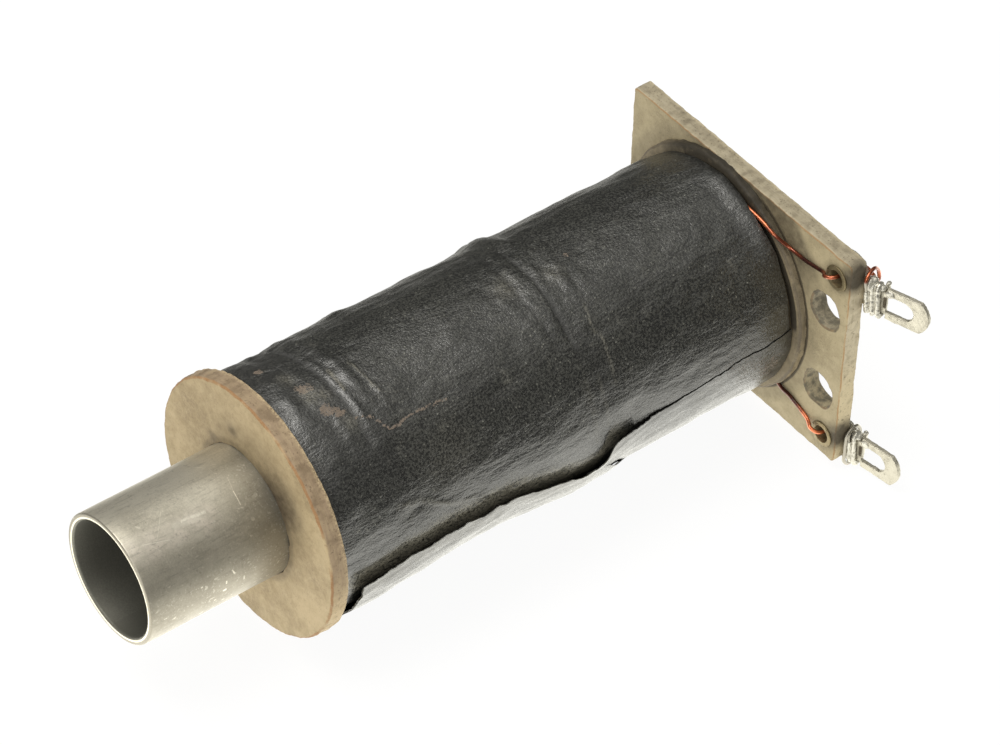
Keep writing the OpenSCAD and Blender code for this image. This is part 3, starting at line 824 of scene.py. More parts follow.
# %% Creases of the sheet
# Ridges and hollows round the coil: angles, distances at those angles, height, half width
creases = [
    ((-60, 0, 60), (56.4, 56.2, 56.6), 0.2, 1.5),
    ((-45, -10, 34), (52.2, 51.8, 51.6), -0.09, 0.5),
    ((-4, 10, 20), (51.2, 51.0, 50.8), 0.09, 0.22),
    ((-40, 5, 30), (53.8, 53.5, 53.3), 0.08, 0.5),
    ((0, 10, 18), (48.5, 48.2, 47.9), 0.07, 0.2),
    ((-50, -20, 10), (50.0, 49.8, 49.4), 0.16, 0.7),
    ((-30, 5, 26), (28.2, 28.9, 28.6), -0.06, 0.45),
    ((-25, 10, 38), (26.2, 26.4, 26.8), -0.08, 0.4),
    ((-50, -5, 30), (27.6, 27.6, 27.8), 0.03, 0.5),
    ((-20, 10, 30), (31.2, 30.8, 29.6), 0.04, 0.5),
    ((-25, 5, 25), (21.6, 23.2, 23.8), 0.045, 0.5),
    ((-75, -45, -30), (25.2, 25.0, 25.2), 0.45, 1.2),
    ((-70, -52, -42), (43.2, 43.2, 43.0), 0.25, 1.1),
    ((30, 60, 85), (26.0, 25.0, 24.2), -0.05, 0.8),
    ((4, 22, 40), (1.7, 1.7, 1.7), 0.42, 1.3),
]
CREASE_FADE = 18


def smooth_step(x, low, high):
    t = np.clip((x - low) / (high - low), 0, 1)
    return t * t * (3 - 2 * t)


def crease_height(angle, distance):
    """Height of all the creases at an angle and a distance."""
    total = np.zeros_like(angle)
    for angles, places, height, width in creases:
        centre = np.interp(angle, angles, places)
        begun = smooth_step(angle, angles[0] - CREASE_FADE, angles[0])
        ended = smooth_step(angle, angles[-1], angles[-1] + CREASE_FADE)
        total += height * (begun - ended) * np.exp(-(((distance - centre) / width) ** 2))
    return total


print("the sheet has", len(creases), "creases")

# %% [markdown]
# The sheet becomes a grid in three steps: where each point lies on the sheet, how far the sheet stands off
# the coil there, and last the two faces of the paper. The grid is finer where the sheet is torn or creased.

# %% Grid of the sheet
APART = 0.01


def spread(*stretches):
    """Stations along a line, from stretches of (start, spacing) and the end, never two in one place."""
    parts = [np.arange(a[0], b[0] - APART, a[1]) for a, b in zip(stretches[:-1], stretches[1:])]
    return np.append(np.concatenate(parts), stretches[-1][0])


along_sheet = spread((0, 0.5), (18, 0.22), (30.5, 0.5), (44, 0.21), (57, 0))
round_sheet = spread((0, 0.3), (1.5, 0.8), (4, 1.3), (60, 2.6), (190, 1.5), (344, 0.9), (358.4, 0.2),
                     (361.2, 3), (360 + INNER_LAP, 0))
past_edge = np.broadcast_to(round_sheet, (len(along_sheet), len(round_sheet)))
share_along = (along_sheet / along_sheet[-1])[:, None]


def lumps(points, size, seed, waves=28):
    """Smooth random bumps of about that size, from -1 to 1 or so, at each point."""
    rng = np.random.default_rng(seed)
    heading = rng.normal(size=(waves, 3))
    heading /= np.linalg.norm(heading, axis=1)[:, None]
    swing = heading * (2 * np.pi / (size * rng.uniform(0.7, 1.7, waves)))[:, None]
    return np.cos(points @ swing.T + rng.uniform(0, 2 * np.pi, waves)).sum(-1) / math.sqrt(waves)


def sheet_layout():
    """Distance, angle and height of the sheet's outer face at each grid point."""
    lapped = 1 - smooth_step(past_edge, LAP - 4, LAP + 10)
    ragged = 0.22 * np.sin(past_edge * 0.31) + 0.14 * np.sin(past_edge * 0.93 + 1)
    rear = np.interp(past_edge, *rear_end.T) + 0.15 * ragged
    front = FRONT_D - TORN_FRONT * lapped - lapped * 0.4 * ragged
    distance = rear + (front - rear) * share_along
    line = np.stack([distance, 0 * distance, 0 * distance], -1)
    jag = 0.45 * lumps(line, 2.0, 15) + 0.3 * lumps(line, 0.7, 16)
    angle = np.interp(distance, *free_edge.T) + jag + past_edge
    low = np.interp(distance, *low_lift.T)
    lift = low * (1 - smooth_step(past_edge, 30, 75))
    lift = lift + (np.interp(distance, *edge_lift.T) - low) * np.clip(1 - past_edge / 30, 0, 1) ** 1.6
    tuck_start = np.where(distance < 22, 359.1, 348.0)
    tuck = smooth_step(past_edge, tuck_start, 360.6)
    return distance, angle, 0.05 * lapped + lift - tuck * (SHEET_T + 0.02)


print("sheet grid of", *past_edge.shape, "points")

# %% [markdown]
# The paper isn't smooth: it swells all over, is crumpled in two places, and has peeled in a patch near the
# flange. These are small heights that are added to the coil's radius, point by point.

# %% Points of the sheet
# Edge of a peeled patch near the flange: distance and angle
peeled_edge = [(51.3, 69.6), (48.7, 72.1), (46.4, 77.9), (44.6, 82.6), (42.2, 84.7), (39.4, 88.3)]
# Swells of the paper: height, size, how drawn out they are along the coil, and seed
swells = [(0.09, 13, 1, 3), (0.05, 5, 1, 4), (0.02, 2.2, 1, 5), (0.032, 1.4, 0.3, 6), (0.01, 0.8, 0.4, 9)]
# Crumpled places: distance from the plate, and half width
crumpled = [(26, 5), (53, 4.5)]


def arc_mm(angle):
    return np.radians(angle) * SKIN_R


def away_from_line(line, distance, angle):
    """Millimetres over the sheet from a line of (distance, angle) points."""
    place = np.stack([distance, arc_mm(angle)], -1)
    knots = np.array([(d, arc_mm(a)) for d, a in line])
    best = np.full(distance.shape, np.inf)
    for a, b in zip(knots[:-1], knots[1:]):
        t = np.clip(((place - a) @ (b - a)) / ((b - a) @ (b - a)), 0, 1)
        best = np.minimum(best, np.linalg.norm(place - a - t[..., None] * (b - a), axis=-1))
    return best


def ring_place(angle, radius):
    return np.stack([radius * np.sin(np.radians(angle)), radius * np.cos(np.radians(angle))], -1)


def sheet_points():
    """Outer and inner face of the sheet, as grids of points."""
    distance, angle, height = sheet_layout()
    around = (angle + 180) % 360 - 180
    unit = ring_place(around, 1.0)
    base = np.stack([unit[..., 0] * SKIN_R, -distance, unit[..., 1] * SKIN_R], -1)
    swell = sum(high * lumps(base * np.array([1, drawn, 1]), size, seed)
                for high, size, drawn, seed in swells)
    swell = swell + 0.12 * np.exp(-((away_from_line(peeled_edge, distance, around) / 0.22) ** 2))
    crumple = sum(np.exp(-(((distance - middle) / half) ** 2)) for middle, half in crumpled)
    crumple = crumple * (1 - smooth_step(around, 10, 45)) * smooth_step(around, -110, -70)
    swell = swell + crumple * (0.038 * lumps(base, 1.8, 7) + 0.018 * lumps(base, 0.9, 8))
    ends = 0.12 * np.exp(-(((distance - 4.5) / 2.0) ** 2))
    ends = ends - 0.14 * (1 - smooth_step(distance, 1.0, 2.0)) ** 2
    radius = SKIN_R + height + swell + crease_height(around, distance) + ends
    thin = SHEET_T * (0.5 + 0.5 * smooth_step(past_edge, 0, 4))
    faces = []
    for r in (radius, radius - thin):
        faces.append(np.stack([unit[..., 0] * r, PLATE_FRONT - distance, unit[..., 1] * r], -1))
    return faces, distance, around


(outer, inner), sheet_d, sheet_angle = sheet_points()
print("sheet spreads over", np.round(np.ptp(outer.reshape(-1, 3), axis=0), 1), "mm")

# %% [markdown]
# Wear and painted light and shade go on the sheet's own points: brown scuffs near the flange, a wavy
# tan line, a pale crack near the middle and other pale lines, painted shade in the hollows of the creases,
# a darker upper side near both ends, and painted light in the hollow under the lifted free edge.

# %% Wear, painted light and painted shade on the sheet
tan_line = [(51.7, 26.4), (50.3, 28), (49.1, 37.2), (48.2, 37.2), (47, 35.6), (44.9, 35.4), (42, 37)]
pale_lines = [
    ([(23.4, 27.3), (24.1, 38.6), (23.5, 43.6), (23.7, 55), (23.8, 66)], 0.4, 0.11),
    (peeled_edge, 0.3, 0.2),
    ([(50.7, 0), (50.8, 12)], 0.7, 0.16),
    ([(48.4, 1), (47.9, 20)], 0.45, 0.12),
    ([(25.6, 60), (25.3, 84)], 0.16, 0.2),
    ([(27.2, 58), (26.9, 90)], 0.1, 0.3),
]
dark_crack = [(5.4, 87), (5.2, 98)]
# Distance, angle, size and strength of each brown scuff
tan_scuffs = [(54.4, 3, 0.8, 0.9), (53.6, 3.5, 0.6, 0.7), (53.8, 17, 0.9, 0.8), (52.8, 20.6, 0.8, 0.8),
              (56, -19.6, 0.6, 0.8), (21.5, 2, 0.6, 0.5), (3.2, 102, 2.4, 0.45)]
pale_scuffs = [(54.2, 8, 0.9, 0.45), (53.0, 10, 0.7, 0.4), (54.8, -6, 0.8, 0.35), (52.4, 27, 0.8, 0.3),
               (29.6, 4, 1.2, 0.25), (24.2, 8, 1.0, 0.2), (44, 60, 3.0, 0.1)]


def streak(line, strength, width):
    """A soft line of (distance, angle) points on the sheet."""
    return strength * np.exp(-((away_from_line(line, sheet_d, sheet_angle) / width) ** 2))


def scuff(distance, angle, size, strength):
    """A soft round spot on the sheet."""
    away = np.hypot(sheet_d - distance, arc_mm(sheet_angle - angle))
    return strength * np.exp(-((away / size) ** 2))


def sheet_wear_light_and_shade():
    """Red, green and blue: tan scuffs; pale cracks and painted light; painted shade, darker ends and a dark
    crack.
    """
    tan = np.maximum.reduce([streak(tan_line, 0.75, 0.22), *[scuff(*spot) for spot in tan_scuffs]])
    # Painted light: the hollow under the lifted free edge is painted paler to soften its shadow. The free
    # edge itself is a little paler too.
    by_lap = smooth_step(past_edge, 350, 356) * (1 - smooth_step(past_edge, 366, 370))
    by_lap = 0.62 * by_lap + 0.2 * (1 - smooth_step(past_edge, 4, 12))
    cracks = [streak(*line) for line in pale_lines] + [scuff(*spot) for spot in pale_scuffs]
    pale = np.maximum.reduce([by_lap * smooth_step(sheet_d, 22, 26), *cracks])
    upper = 1 - smooth_step(sheet_angle, 40, 75)
    rear = (1 - smooth_step(sheet_d, 2.5, 5.5)) * smooth_step(sheet_angle, -60, -20)
    # Painted shade in the crease hollows; the upper side darker near the plate and near the flange; a dark
    # crack near the plate
    dark = np.maximum.reduce([
        np.clip(-crease_height(sheet_angle, sheet_d) * 6, 0, 0.6),
        0.36 * rear * upper,
        0.36 * smooth_step(sheet_d, 48.5, 50.5) * upper,
        streak(dark_crack, 0.8, 0.12),
    ])
    return np.stack([tan, pale, dark, np.ones_like(tan)], -1)


wear = sheet_wear_light_and_shade()
print("worn to tan, pale and dark at most", wear[..., :3].max((0, 1)).round(2))

# %% [markdown]
# Most pieces here are grids of points: a sheet, a turned ring or a swept edge. These helpers work in
# millimetres and turn points and faces into a closed mesh in metres, with its faces outwards. Then the
# piece takes the place of its solids on the coil.

# %% Mesh helpers
SHARP = math.radians(38)


def grid_faces(rows, columns, close_rows=False, close_columns=False, start=0):
    """Four-sided faces of a grid of points that is numbered row by row."""
    i = np.arange(rows if close_rows else rows - 1)[:, None]
    j = np.arange(columns if close_columns else columns - 1)[None, :]
    i2, j2 = (i + 1) % rows, (j + 1) % columns
    corners = [i * columns + j, i2 * columns + j, i2 * columns + j2, i * columns + j2]
    return (np.stack(corners, -1).reshape(-1, 4) + start).tolist()


def add_piece(name, mesh, material, slot, *nodes):
    """Put a finished mesh in the scene, on the coil's one body, in place of its solids."""
    mesh.materials.clear()
    mesh.materials.append(material)
    piece = bpy.data.objects.new(name, mesh)
    bpy.context.scene.collection.objects.link(piece)
    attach(piece, "root")
    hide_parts(*nodes)
    triangles = sum(len(p.vertices) - 2 for p in mesh.polygons)
    print("piece", name, "with", triangles, "triangles stands for", ", ".join(nodes))


def solid_mesh(name, points, faces, sharp=SHARP):
    """A closed mesh in metres from points in millimetres, with its faces outwards."""
    mesh = bpy.data.meshes.new(name)
    mesh.from_pydata((np.asarray(points) * MM).tolist(), [], faces)
    work = bmesh.new()
    work.from_mesh(mesh)
    bmesh.ops.recalc_face_normals(work, faces=work.faces)
    work.to_mesh(mesh)
    work.free()
    mesh.shade_smooth()
    mesh.set_sharp_from_angle(angle=sharp)
    return mesh


print("edges over", round(math.degrees(SHARP)), "degrees stay sharp")

# %% [markdown]
# The sheet and the torn tongue are slabs: two grids of points, face to face, closed along their rims.

# %% Wrapper
TONGUE_T = 0.07
WRAPPER_SHARP = math.radians(60)


def slab(outer_grid, inner_grid, start):
    """Points and faces of a closed slab between two grids of points."""
    n_rows, n_columns = outer_grid.shape[:2]
    count = n_rows * n_columns
    faces = grid_faces(n_rows, n_columns, start=start) + grid_faces(n_rows, n_columns, start=start + count)
    index = np.arange(start, start + count).reshape(n_rows, n_columns)
    for rim in (index[0], index[-1], index[:, 0], index[:, -1]):
        for a, b in zip(rim[:-1], rim[1:]):
            faces.append((int(a), int(b), int(b) + count, int(a) + count))
    return np.concatenate([outer_grid.reshape(-1, 3), inner_grid.reshape(-1, 3)]), faces


def tongue_grids():
    """Outer and inner face of the torn tongue."""
    t = np.linspace(0, 1, 40)
    knots = np.linspace(0, 1, len(tongue))
    d, first, last, lift = (np.interp(t, knots, column)[:, None] for column in tongue.T)
    across = np.linspace(0, 1, 12)[None, :]
    unit = ring_place(first + (last - first) * across + 0.5 * np.sin(3 * d), 1.0)
    grids = []
    for inset in (0, TONGUE_T):
        radius = SKIN_R + lift + 0.04 * np.sin(1.7 * d) - inset
        grids.append(np.stack([unit[..., 0] * radius, np.broadcast_to(PLATE_FRONT - d, unit.shape[:2]),
                               unit[..., 1] * radius], -1))
    return grids


def wrapper_piece():
    points, faces = slab(outer, inner, 0)
    more_points, more_faces = slab(*tongue_grids(), len(points))
    all_points = np.concatenate([points, more_points])
    mesh = solid_mesh("outer_wrapper", all_points, faces + more_faces, WRAPPER_SHARP)
    painted = mesh.attributes.new("wear", "FLOAT_COLOR", "POINT")
    colours = np.concatenate([*[wear.reshape(-1, 4)] * 2, np.zeros((len(more_points), 4))])
    painted.data.foreach_set("color", colours.astype(np.float32).ravel())
    add_piece("outer_wrapper", mesh, black_wrapper, "black_wrapper", "outer_wrap")


wrapper_piece()

# %% [markdown]
# ## Fibre boards
# The flange, the washer and the terminal plate are punched from sheet. A punch rolls the entry edge over
# and leaves a ragged exit edge. So each board is an outline and its holes, swept through one edge
# profile, with flat faces filled in between. One function makes all three.

# %% Outlines of the boards
EDGE_STEP = 0.3
PLATE_CORNER = 0.45


def circle_outline(centre, radius):
    count = max(24, int(2 * math.pi * radius / EDGE_STEP))
    a = np.linspace(0, 2 * math.pi, count, endpoint=False)
    return np.stack([centre[0] + radius * np.cos(a), centre[1] + radius * np.sin(a)], -1)


def rectangle_outline(low, high, corner):
    """Rounded rectangle, counter-clockwise, with points about EDGE_STEP apart."""
    parts = []
    centres = [(high[0], low[1], -90), (high[0], high[1], 0), (low[0], high[1], 90), (low[0], low[1], 180)]
    for (x, z, start), (next_x, next_z, _) in zip(centres, centres[1:] + centres[:1]):
        inward = np.array([x - math.copysign(corner, x - (low[0] + high[0]) / 2),
                           z - math.copysign(corner, z - (low[1] + high[1]) / 2)])
        a = np.radians(np.linspace(start, start + 90, 6))
        arc = inward + corner * np.stack([np.cos(a), np.sin(a)], -1)
        gap = abs(next_x - x) + abs(next_z - z) - 2 * corner
        steps = max(2, int(gap / EDGE_STEP))
        along = np.radians(start + 180)
        way = np.array([math.cos(along), math.sin(along)])
        side = arc[-1] + way * np.linspace(0, gap, steps, endpoint=False)[1:, None]
        parts += [arc, side]
    return np.concatenate(parts)


def outward(outline):
    """Unit normals of an outline that runs counter-clockwise."""
    along = np.roll(outline, -1, 0) - np.roll(outline, 1, 0)
    normal = np.stack([along[:, 1], -along[:, 0]], -1)
    return normal / np.linalg.norm(normal, axis=1)[:, None]


plate_outline = rectangle_outline(plate_lo[[0, 2]], plate_hi[[0, 2]], PLATE_CORNER)
print("plate outline of", len(plate_outline), "points")

# %% [markdown]
# A bevel would round both sides of a board alike. The edge profile here rolls the front side over and
# leaves a small burr at the back, and notes where it is rolled or torn, so that the finish can follow it.


# %% Edge of a punched board
def edge_profile(thickness, roll, burr):
    """Inset and depth of the edge from the front face to the back one, and how rolled and how torn it is."""
    a = np.linspace(0, math.pi / 2, 6)
    none = np.zeros(6)
    front = np.stack([roll * (1 - np.sin(a)), roll * (1 - np.cos(a)), np.sin(2 * a), none], -1)
    depth = roll + (thickness - roll - burr) * np.array([0.25, 0.5, 0.75])
    middle = np.stack([none[:3], depth, none[:3], none[:3]], -1)
    back = np.stack([burr * (1 - np.cos(a)), thickness - burr * (1 - np.sin(a)), none, np.cos(a)], -1)
    return np.concatenate([front, middle, back])


print("a punched edge has", len(edge_profile(thickness=1.0, roll=0.2, burr=0.1)), "rows of points")

# %% [markdown]
# The flat faces lie between the outline and the holes. A plain fill would cover the holes too, so each
# triangle whose middle lies in a hole is dropped.


# %% Faces of a punched board
def within(ring, point):
    """Whether a point lies inside a closed ring: a ray from it crosses the ring an odd number of times."""
    a, b = ring, np.roll(ring, -1, 0)
    crossed = (a[:, 1] > point[1]) != (b[:, 1] > point[1])
    a, b = a[crossed], b[crossed]
    at = a[:, 0] + (point[1] - a[:, 1]) / (b[:, 1] - a[:, 1]) * (b[:, 0] - a[:, 0])
    return np.count_nonzero(at > point[0]) % 2 == 1


def filled(points, loops):
    """Triangles between an outer loop and the loops of the holes in it."""
    order = [i for loop in loops for i in loop]
    flat = [Vector((points[i][0], points[i][2])) for i in order]
    edges, first = [], 0
    for loop in loops:
        count = len(loop)
        edges += [(first + k, first + (k + 1) % count) for k in range(count)]
        first += count
    made = geometry.delaunay_2d_cdt(flat, edges, [], 1, 1e-6)
    corners, triangles, origin = made[0], made[2], made[3]
    rings = [np.array([(points[i][0], points[i][2]) for i in loop]) for loop in loops[1:]]
    kept = []
    for triangle in triangles:
        middle = np.mean([corners[k] for k in triangle], axis=0)
        if not any(within(ring, middle) for ring in rings):
            kept.append(tuple(order[origin[k][0]] for k in triangle))
    return kept


# %% [markdown]
# A board is then put together: the outline and each hole sweep the edge profile, with a small wander so
# that no edge is a ruled line, and the two faces close it.


# %% Punched boards
def punched_board(name, outline, holes, y_front, thickness, roll, burr, ragged, seed):
    """A board with an outline and round holes, in the plane of the plates."""
    points, faces, paint_edge = [], [], []
    loops = {"front": [], "back": []}
    contours = [(outline, outward(outline), roll, ragged, 0)]
    for centre, radius, hole_roll in holes:
        ring = circle_outline(centre, radius)
        contours.append((ring, -outward(ring), hole_roll, ragged * (1 + 4 * hole_roll), 1))
    for ring, normal, ring_roll, rough, wall in contours:
        profile = edge_profile(thickness, ring_roll, burr)
        start = len(points)
        for row, (inset, depth, rolled, torn) in enumerate(profile):
            place = np.insert(ring, 1, y_front + depth, axis=1)
            wander = rough * lumps(place * np.array([1, 2.5, 1]), 1.6, seed)
            wander += 0.6 * rough * lumps(place * np.array([1, 0.3, 1]), 0.7, seed + 1)
            shift = (wander - inset)[:, None] * normal
            points.extend(np.stack([ring[:, 0] + shift[:, 0], place[:, 1], ring[:, 1] + shift[:, 1]], -1))
            walled = wall if 0 < row < len(profile) - 1 else 0
            paint_edge += [(rolled, torn, walled, 1)] * len(ring)
        faces += grid_faces(len(profile), len(ring), close_columns=True, start=start)
        loops["front"].append(range(start, start + len(ring)))
        loops["back"].append(range(len(points) - len(ring), len(points)))
    for side in loops.values():
        faces += filled(points, side)
    mesh = solid_mesh(name, points, faces)
    edge = mesh.attributes.new("edge", "FLOAT_COLOR", "POINT")
    edge.data.foreach_set("color", np.array(paint_edge, np.float32).ravel())
    return mesh


# %% [markdown]
# The three boards differ in their outlines, their holes and how hard their edges are rolled. The washer is
# drawn a little smaller than its solid, as in the picture.

# %% Flange, washer and plate
SEAT_R = tube_hi[0]
EYELET_R = 1.15
FIT = 0.02
middle = (0, 0)
# Each hole is its centre, its radius and how far its edge is rolled
flange_mesh = punched_board(
    "front_flange_board", circle_outline(middle, flange_hi[0]), [(middle, NOSE_R + FIT, 0.05)],
    flange_lo[1], flange_hi[1] - flange_lo[1], roll=0.3, burr=0.1, ragged=0.045, seed=11)
add_piece("front_flange_board", flange_mesh, flange_fibre, "fibre", "front_flange")

washer_mesh = punched_board(
    "rear_washer_board", circle_outline(middle, WASHER_R), [(middle, SEAT_R, 0.1)],
    washer_lo[1], washer_hi[1] - washer_lo[1], roll=0.35, burr=0.1, ragged=0.05, seed=12)
add_piece("rear_washer_board", washer_mesh, washer_fibre, "fibre", "rear_washer")

holes = mounts["plate_holes"]
hole_x = next(m["pos_m"][0] for m in frame["record"]["mounts"] if m["name"] == "plate_holes") / MM
plate_holes = [((hole_x, side * holes["spacing_y_mm"] / 2), holes["hole_r_mm"], 0.22) for side in (-1, 1)]
plate_holes += [((at[0], at[2]), EYELET_R, 0.1) for at in eyelet_at.values()]
plate_mesh = punched_board(
    "terminal_plate_board", plate_outline, [(middle, SEAT_R, 0.1), *plate_holes],
    plate_lo[1], plate_hi[1] - plate_lo[1], roll=0.16, burr=0.12, ragged=0.04, seed=13)
add_piece("terminal_plate_board", plate_mesh, plate_fibre, "fibre", "terminal_plate")

# %% [markdown]
# ## Core tube
# The tube is a turned ring: a closed profile of radius and station, spun about the bore. The mouth has a
# rounded lip that catches the light, and the wall waves a little, so its reflections aren't ruled lines.
# The profile is spun in Python and not by a modifier, because each point is moved by its own amount.


# %% Turned tube
def spun(name, profile, segments, waver, seed):
    """Closed ring of a profile of (radius, y) points about the bore."""
    profile = np.array(profile)
    angle = np.linspace(0, 2 * math.pi, segments, endpoint=False)[:, None]
    x = profile[None, :, 0] * np.sin(angle)
    z = profile[None, :, 0] * np.cos(angle)
    y = np.broadcast_to(profile[None, :, 1], x.shape)
    points = np.stack([x, y, z], -1)
    unit = np.stack([np.sin(angle), np.zeros_like(angle), np.cos(angle)], -1)
    points = points + unit * (waver * lumps(points * np.array([1, 0.5, 1]), 4, seed))[..., None]
    faces = grid_faces(segments, len(profile), close_rows=True, close_columns=True)
    return solid_mesh(name, points.reshape(-1, 3), faces)


def lip(radius, y, reach, towards):
    """Quarter round of a mouth's edge, from the wall to the end face."""
    a = np.linspace(0, math.pi / 2, 5)
    return [(radius - towards * reach * (1 - math.cos(t)), y + reach * (1 - math.sin(t))) for t in a]


NOSE_LIP, BORE_LIP = 0.2, 0.3
SEAT_CHAMFER = 0.3
mouth_y, rear_y = tube_lo[1], tube_hi[1]
nose_end = washer_lo[1] - SEAT_CHAMFER
stations = np.linspace(0, 1, 40)
outer_y = mouth_y + NOSE_LIP + (nose_end - mouth_y - NOSE_LIP) * stations[::-1]
inner_y = mouth_y + BORE_LIP + (rear_y - mouth_y - BORE_LIP) * stations
mouth = lip(NOSE_R, mouth_y, NOSE_LIP, 1) + lip(BORE_R, mouth_y, BORE_LIP, -1)[::-1]
tube_profile = [(SEAT_R, rear_y), (SEAT_R, washer_lo[1])]
tube_profile += [(NOSE_R, y) for y in outer_y[:-1]] + mouth + [(BORE_R, y) for y in inner_y[1:]]
tube_mesh = spun("nose_tube", tube_profile, segments=192, waver=0.014, seed=21)
add_piece("nose_tube", tube_mesh, drawn_tube, "core_metal", "core_tube")

# %% [markdown]
# ## Wires that follow a path
# The leads and the soldered turns are round wire along a route. A curve's bevel would make such a wire,
# but its thickness should vary a little, and more where it is tinned. So Geometry Nodes sweep a circle
# along the route: the tree takes the wire's thickness, its unevenness and its finish as named inputs. One
# class builds and runs a tree, because the eyelets have one too.


# %% Trees of geometry nodes
def plain_mesh(worker):
    """The evaluated mesh of a scratch object, which is then removed."""
    graph = bpy.context.evaluated_depsgraph_get()
    mesh = bpy.data.meshes.new_from_object(worker.evaluated_get(graph))
    bpy.data.objects.remove(worker)
    return mesh


class Recipe:
    """A Geometry Nodes tree with named inputs, run on a mesh or a curve."""

    def __init__(self, name, **inputs):
        self.tree = bpy.data.node_groups.new(name, "GeometryNodeTree")
        face = self.tree.interface
        face.new_socket("Geometry", in_out="INPUT", socket_type="NodeSocketGeometry")
        self.names = {}
        for key, kind in inputs.items():
            self.names[key] = face.new_socket(key, in_out="INPUT", socket_type="NodeSocket" + kind).identifier
        face.new_socket("Geometry", in_out="OUTPUT", socket_type="NodeSocketGeometry")
        self.given = self.tree.nodes.new("NodeGroupInput").outputs

    def node(self, kind, settings=None, sockets=None):
        return add_node(self.tree, kind, settings, sockets).outputs

    def close(self, shape, material):
        """End the tree: real geometry, with its finish."""
        real = self.node("GeometryNodeRealizeInstances", None, {"Geometry": shape})[0]
        done = self.node("GeometryNodeSetMaterial", None, {"Geometry": real, "Material": material})[0]
        add_node(self.tree, "NodeGroupOutput", None, {"Geometry": done})

    def run(self, source, **values):
        """Evaluate the tree on a mesh or curve in millimetres, and return a mesh in metres."""
        worker = bpy.data.objects.new("worker", source)
        bpy.context.scene.collection.objects.link(worker)
        modifier = worker.modifiers.new("recipe", "NODES")
        modifier.node_group = self.tree
        for key, value in values.items():
            modifier[self.names[key]] = value
        mesh = plain_mesh(worker)
        mesh.transform(Matrix.Scale(MM, 4))
        return mesh


# %% [markdown]
# The tree gives the route a radius that varies about one, by a noise along it, and then sweeps a circle.


# %% A tree that sweeps wire
def wire_recipe():
    recipe = Recipe("drawn wire", Thickness="Float", Sides="Int", Uneven="Float", Length="Float",
                    Finish="Material")
    given = recipe.given
    place = recipe.node("GeometryNodeInputPosition")[0]
    scale = recipe.node("ShaderNodeMath", {"operation": "DIVIDE"}, {0: 1.0, 1: given["Length"]})[0]
    wander = recipe.node("ShaderNodeTexNoise", None, {"Vector": place, "Scale": scale, "Detail": 2.0})[0]
    centred = recipe.node("ShaderNodeMath", {"operation": "SUBTRACT"}, {0: wander, 1: 0.5})[0]
    swell = recipe.node("ShaderNodeMath", {"operation": "MULTIPLY_ADD"},
                        {0: centred, 1: given["Uneven"], 2: 1.0})[0]
    sized = recipe.node("GeometryNodeSetCurveRadius", None, {"Curve": given["Geometry"], "Radius": swell})[0]
    radius = recipe.node("ShaderNodeMath", {"operation": "MULTIPLY"}, {0: given["Thickness"], 1: 0.5})[0]
    circle = recipe.node("GeometryNodeCurvePrimitiveCircle", None,
                         {"Resolution": given["Sides"], "Radius": radius})[0]
    swept = recipe.node("GeometryNodeCurveToMesh", None,
                        {"Curve": sized, "Profile Curve": circle, "Fill Caps": True})[0]
    recipe.close(swept, given["Finish"])
    return recipe


drawn_wire = wire_recipe()
print("tree", drawn_wire.tree.name, "takes", ", ".join(drawn_wire.names))

# %% [markdown]
# Each lug bends back past the plate's edge, and its narrow neck carries the turns of wire. A point on a
# lug is given along it from the bend, back from its front face, and up, so that a turn of wire is the same
# on both lugs, whatever their bend.

# %% Places on the lugs
WIRE_D = 0.42
TINNED_D = 0.56
LUG_T, NECK_W, BEND_R = 0.5, 2.8, 0.5
EYELET_WALL = 0.2
# Gap between neighbours, start of the turns along the neck, and step from turn to turn
CLEAR, ROOT_U, TURN_PITCH = 0.05, 0.1, 0.68
# In turns: where the tinned wire ends and starts, how far back the lead comes round, and where it closes in
LAST_TURN, FIRST_TURN, BEHIND_TURN, CLOSING_TURN = 0.65, -0.1, 0.36, 0.125
# Each lug's bend in degrees and drop, tinned and loose turns, slack of the lead, and length of its cut end
lugs = {
    "start": {"bend": 9, "drop": 1.2, "turns": 2, "loose": 1, "slack": 0.0, "end": 0.9},
    "finish": {"bend": 19, "drop": 1.8, "turns": 3, "loose": 0, "slack": 0.7, "end": 0.9},
}


def on_lug(lead, along, back, up):
    """Place of a point on a bent lug's neck or head."""
    b = math.radians(lugs[lead]["bend"])
    reach = BEND_R + LUG_T
    x = plate_hi[0] + reach * math.sin(b) + along * math.cos(b) - back * math.sin(b)
    y = reach * (1 - math.cos(b)) + along * math.sin(b) + back * math.cos(b)
    return np.array([x, y, up + eyelet_at[lead][2] - lugs[lead]["drop"]])


def turn_place(lead, along, turns, off):
    """Place on a turn about the neck: down the front, under, up the back and over the top."""
    half, r = NECK_W / 2, LUG_T / 2 + off
    arc = math.pi * r
    whole = 4 * half + 2 * arc
    s = (turns - math.floor(turns)) * whole
    if s < half:
        back, up = -off, -s
    elif s < half + arc:
        a = (s - half) / r
        back, up = LUG_T / 2 - r * math.cos(a), -half - r * math.sin(a)
    elif s < 3 * half + arc:
        back, up = LUG_T + off, s - arc - 2 * half
    elif s < 3 * half + 2 * arc:
        a = (s - 3 * half - arc) / r
        back, up = LUG_T / 2 + r * math.cos(a), half + r * math.sin(a)
    else:
        back, up = -off, whole - s
    return on_lug(lead, along, back, up)


for lead in lugs:
    print("neck of the", lead, "lug starts at", on_lug(lead, 0, 0, 0).round(2).tolist(), "mm")

# %% [markdown]
# Each lead comes from its end of the winding, runs over the plate to the hollow eyelet and through it, goes
# behind the lug and over the top, and comes down to the tinned turns. The points of both routes were chosen
# for the solids, and they are repeated here.

# %% Routes of the leads
TINNED_OFF = TINNED_D / 2 + CLEAR
LOOSE_OFF = TINNED_OFF + TINNED_D / 2 + WIRE_D / 2 + CLEAR


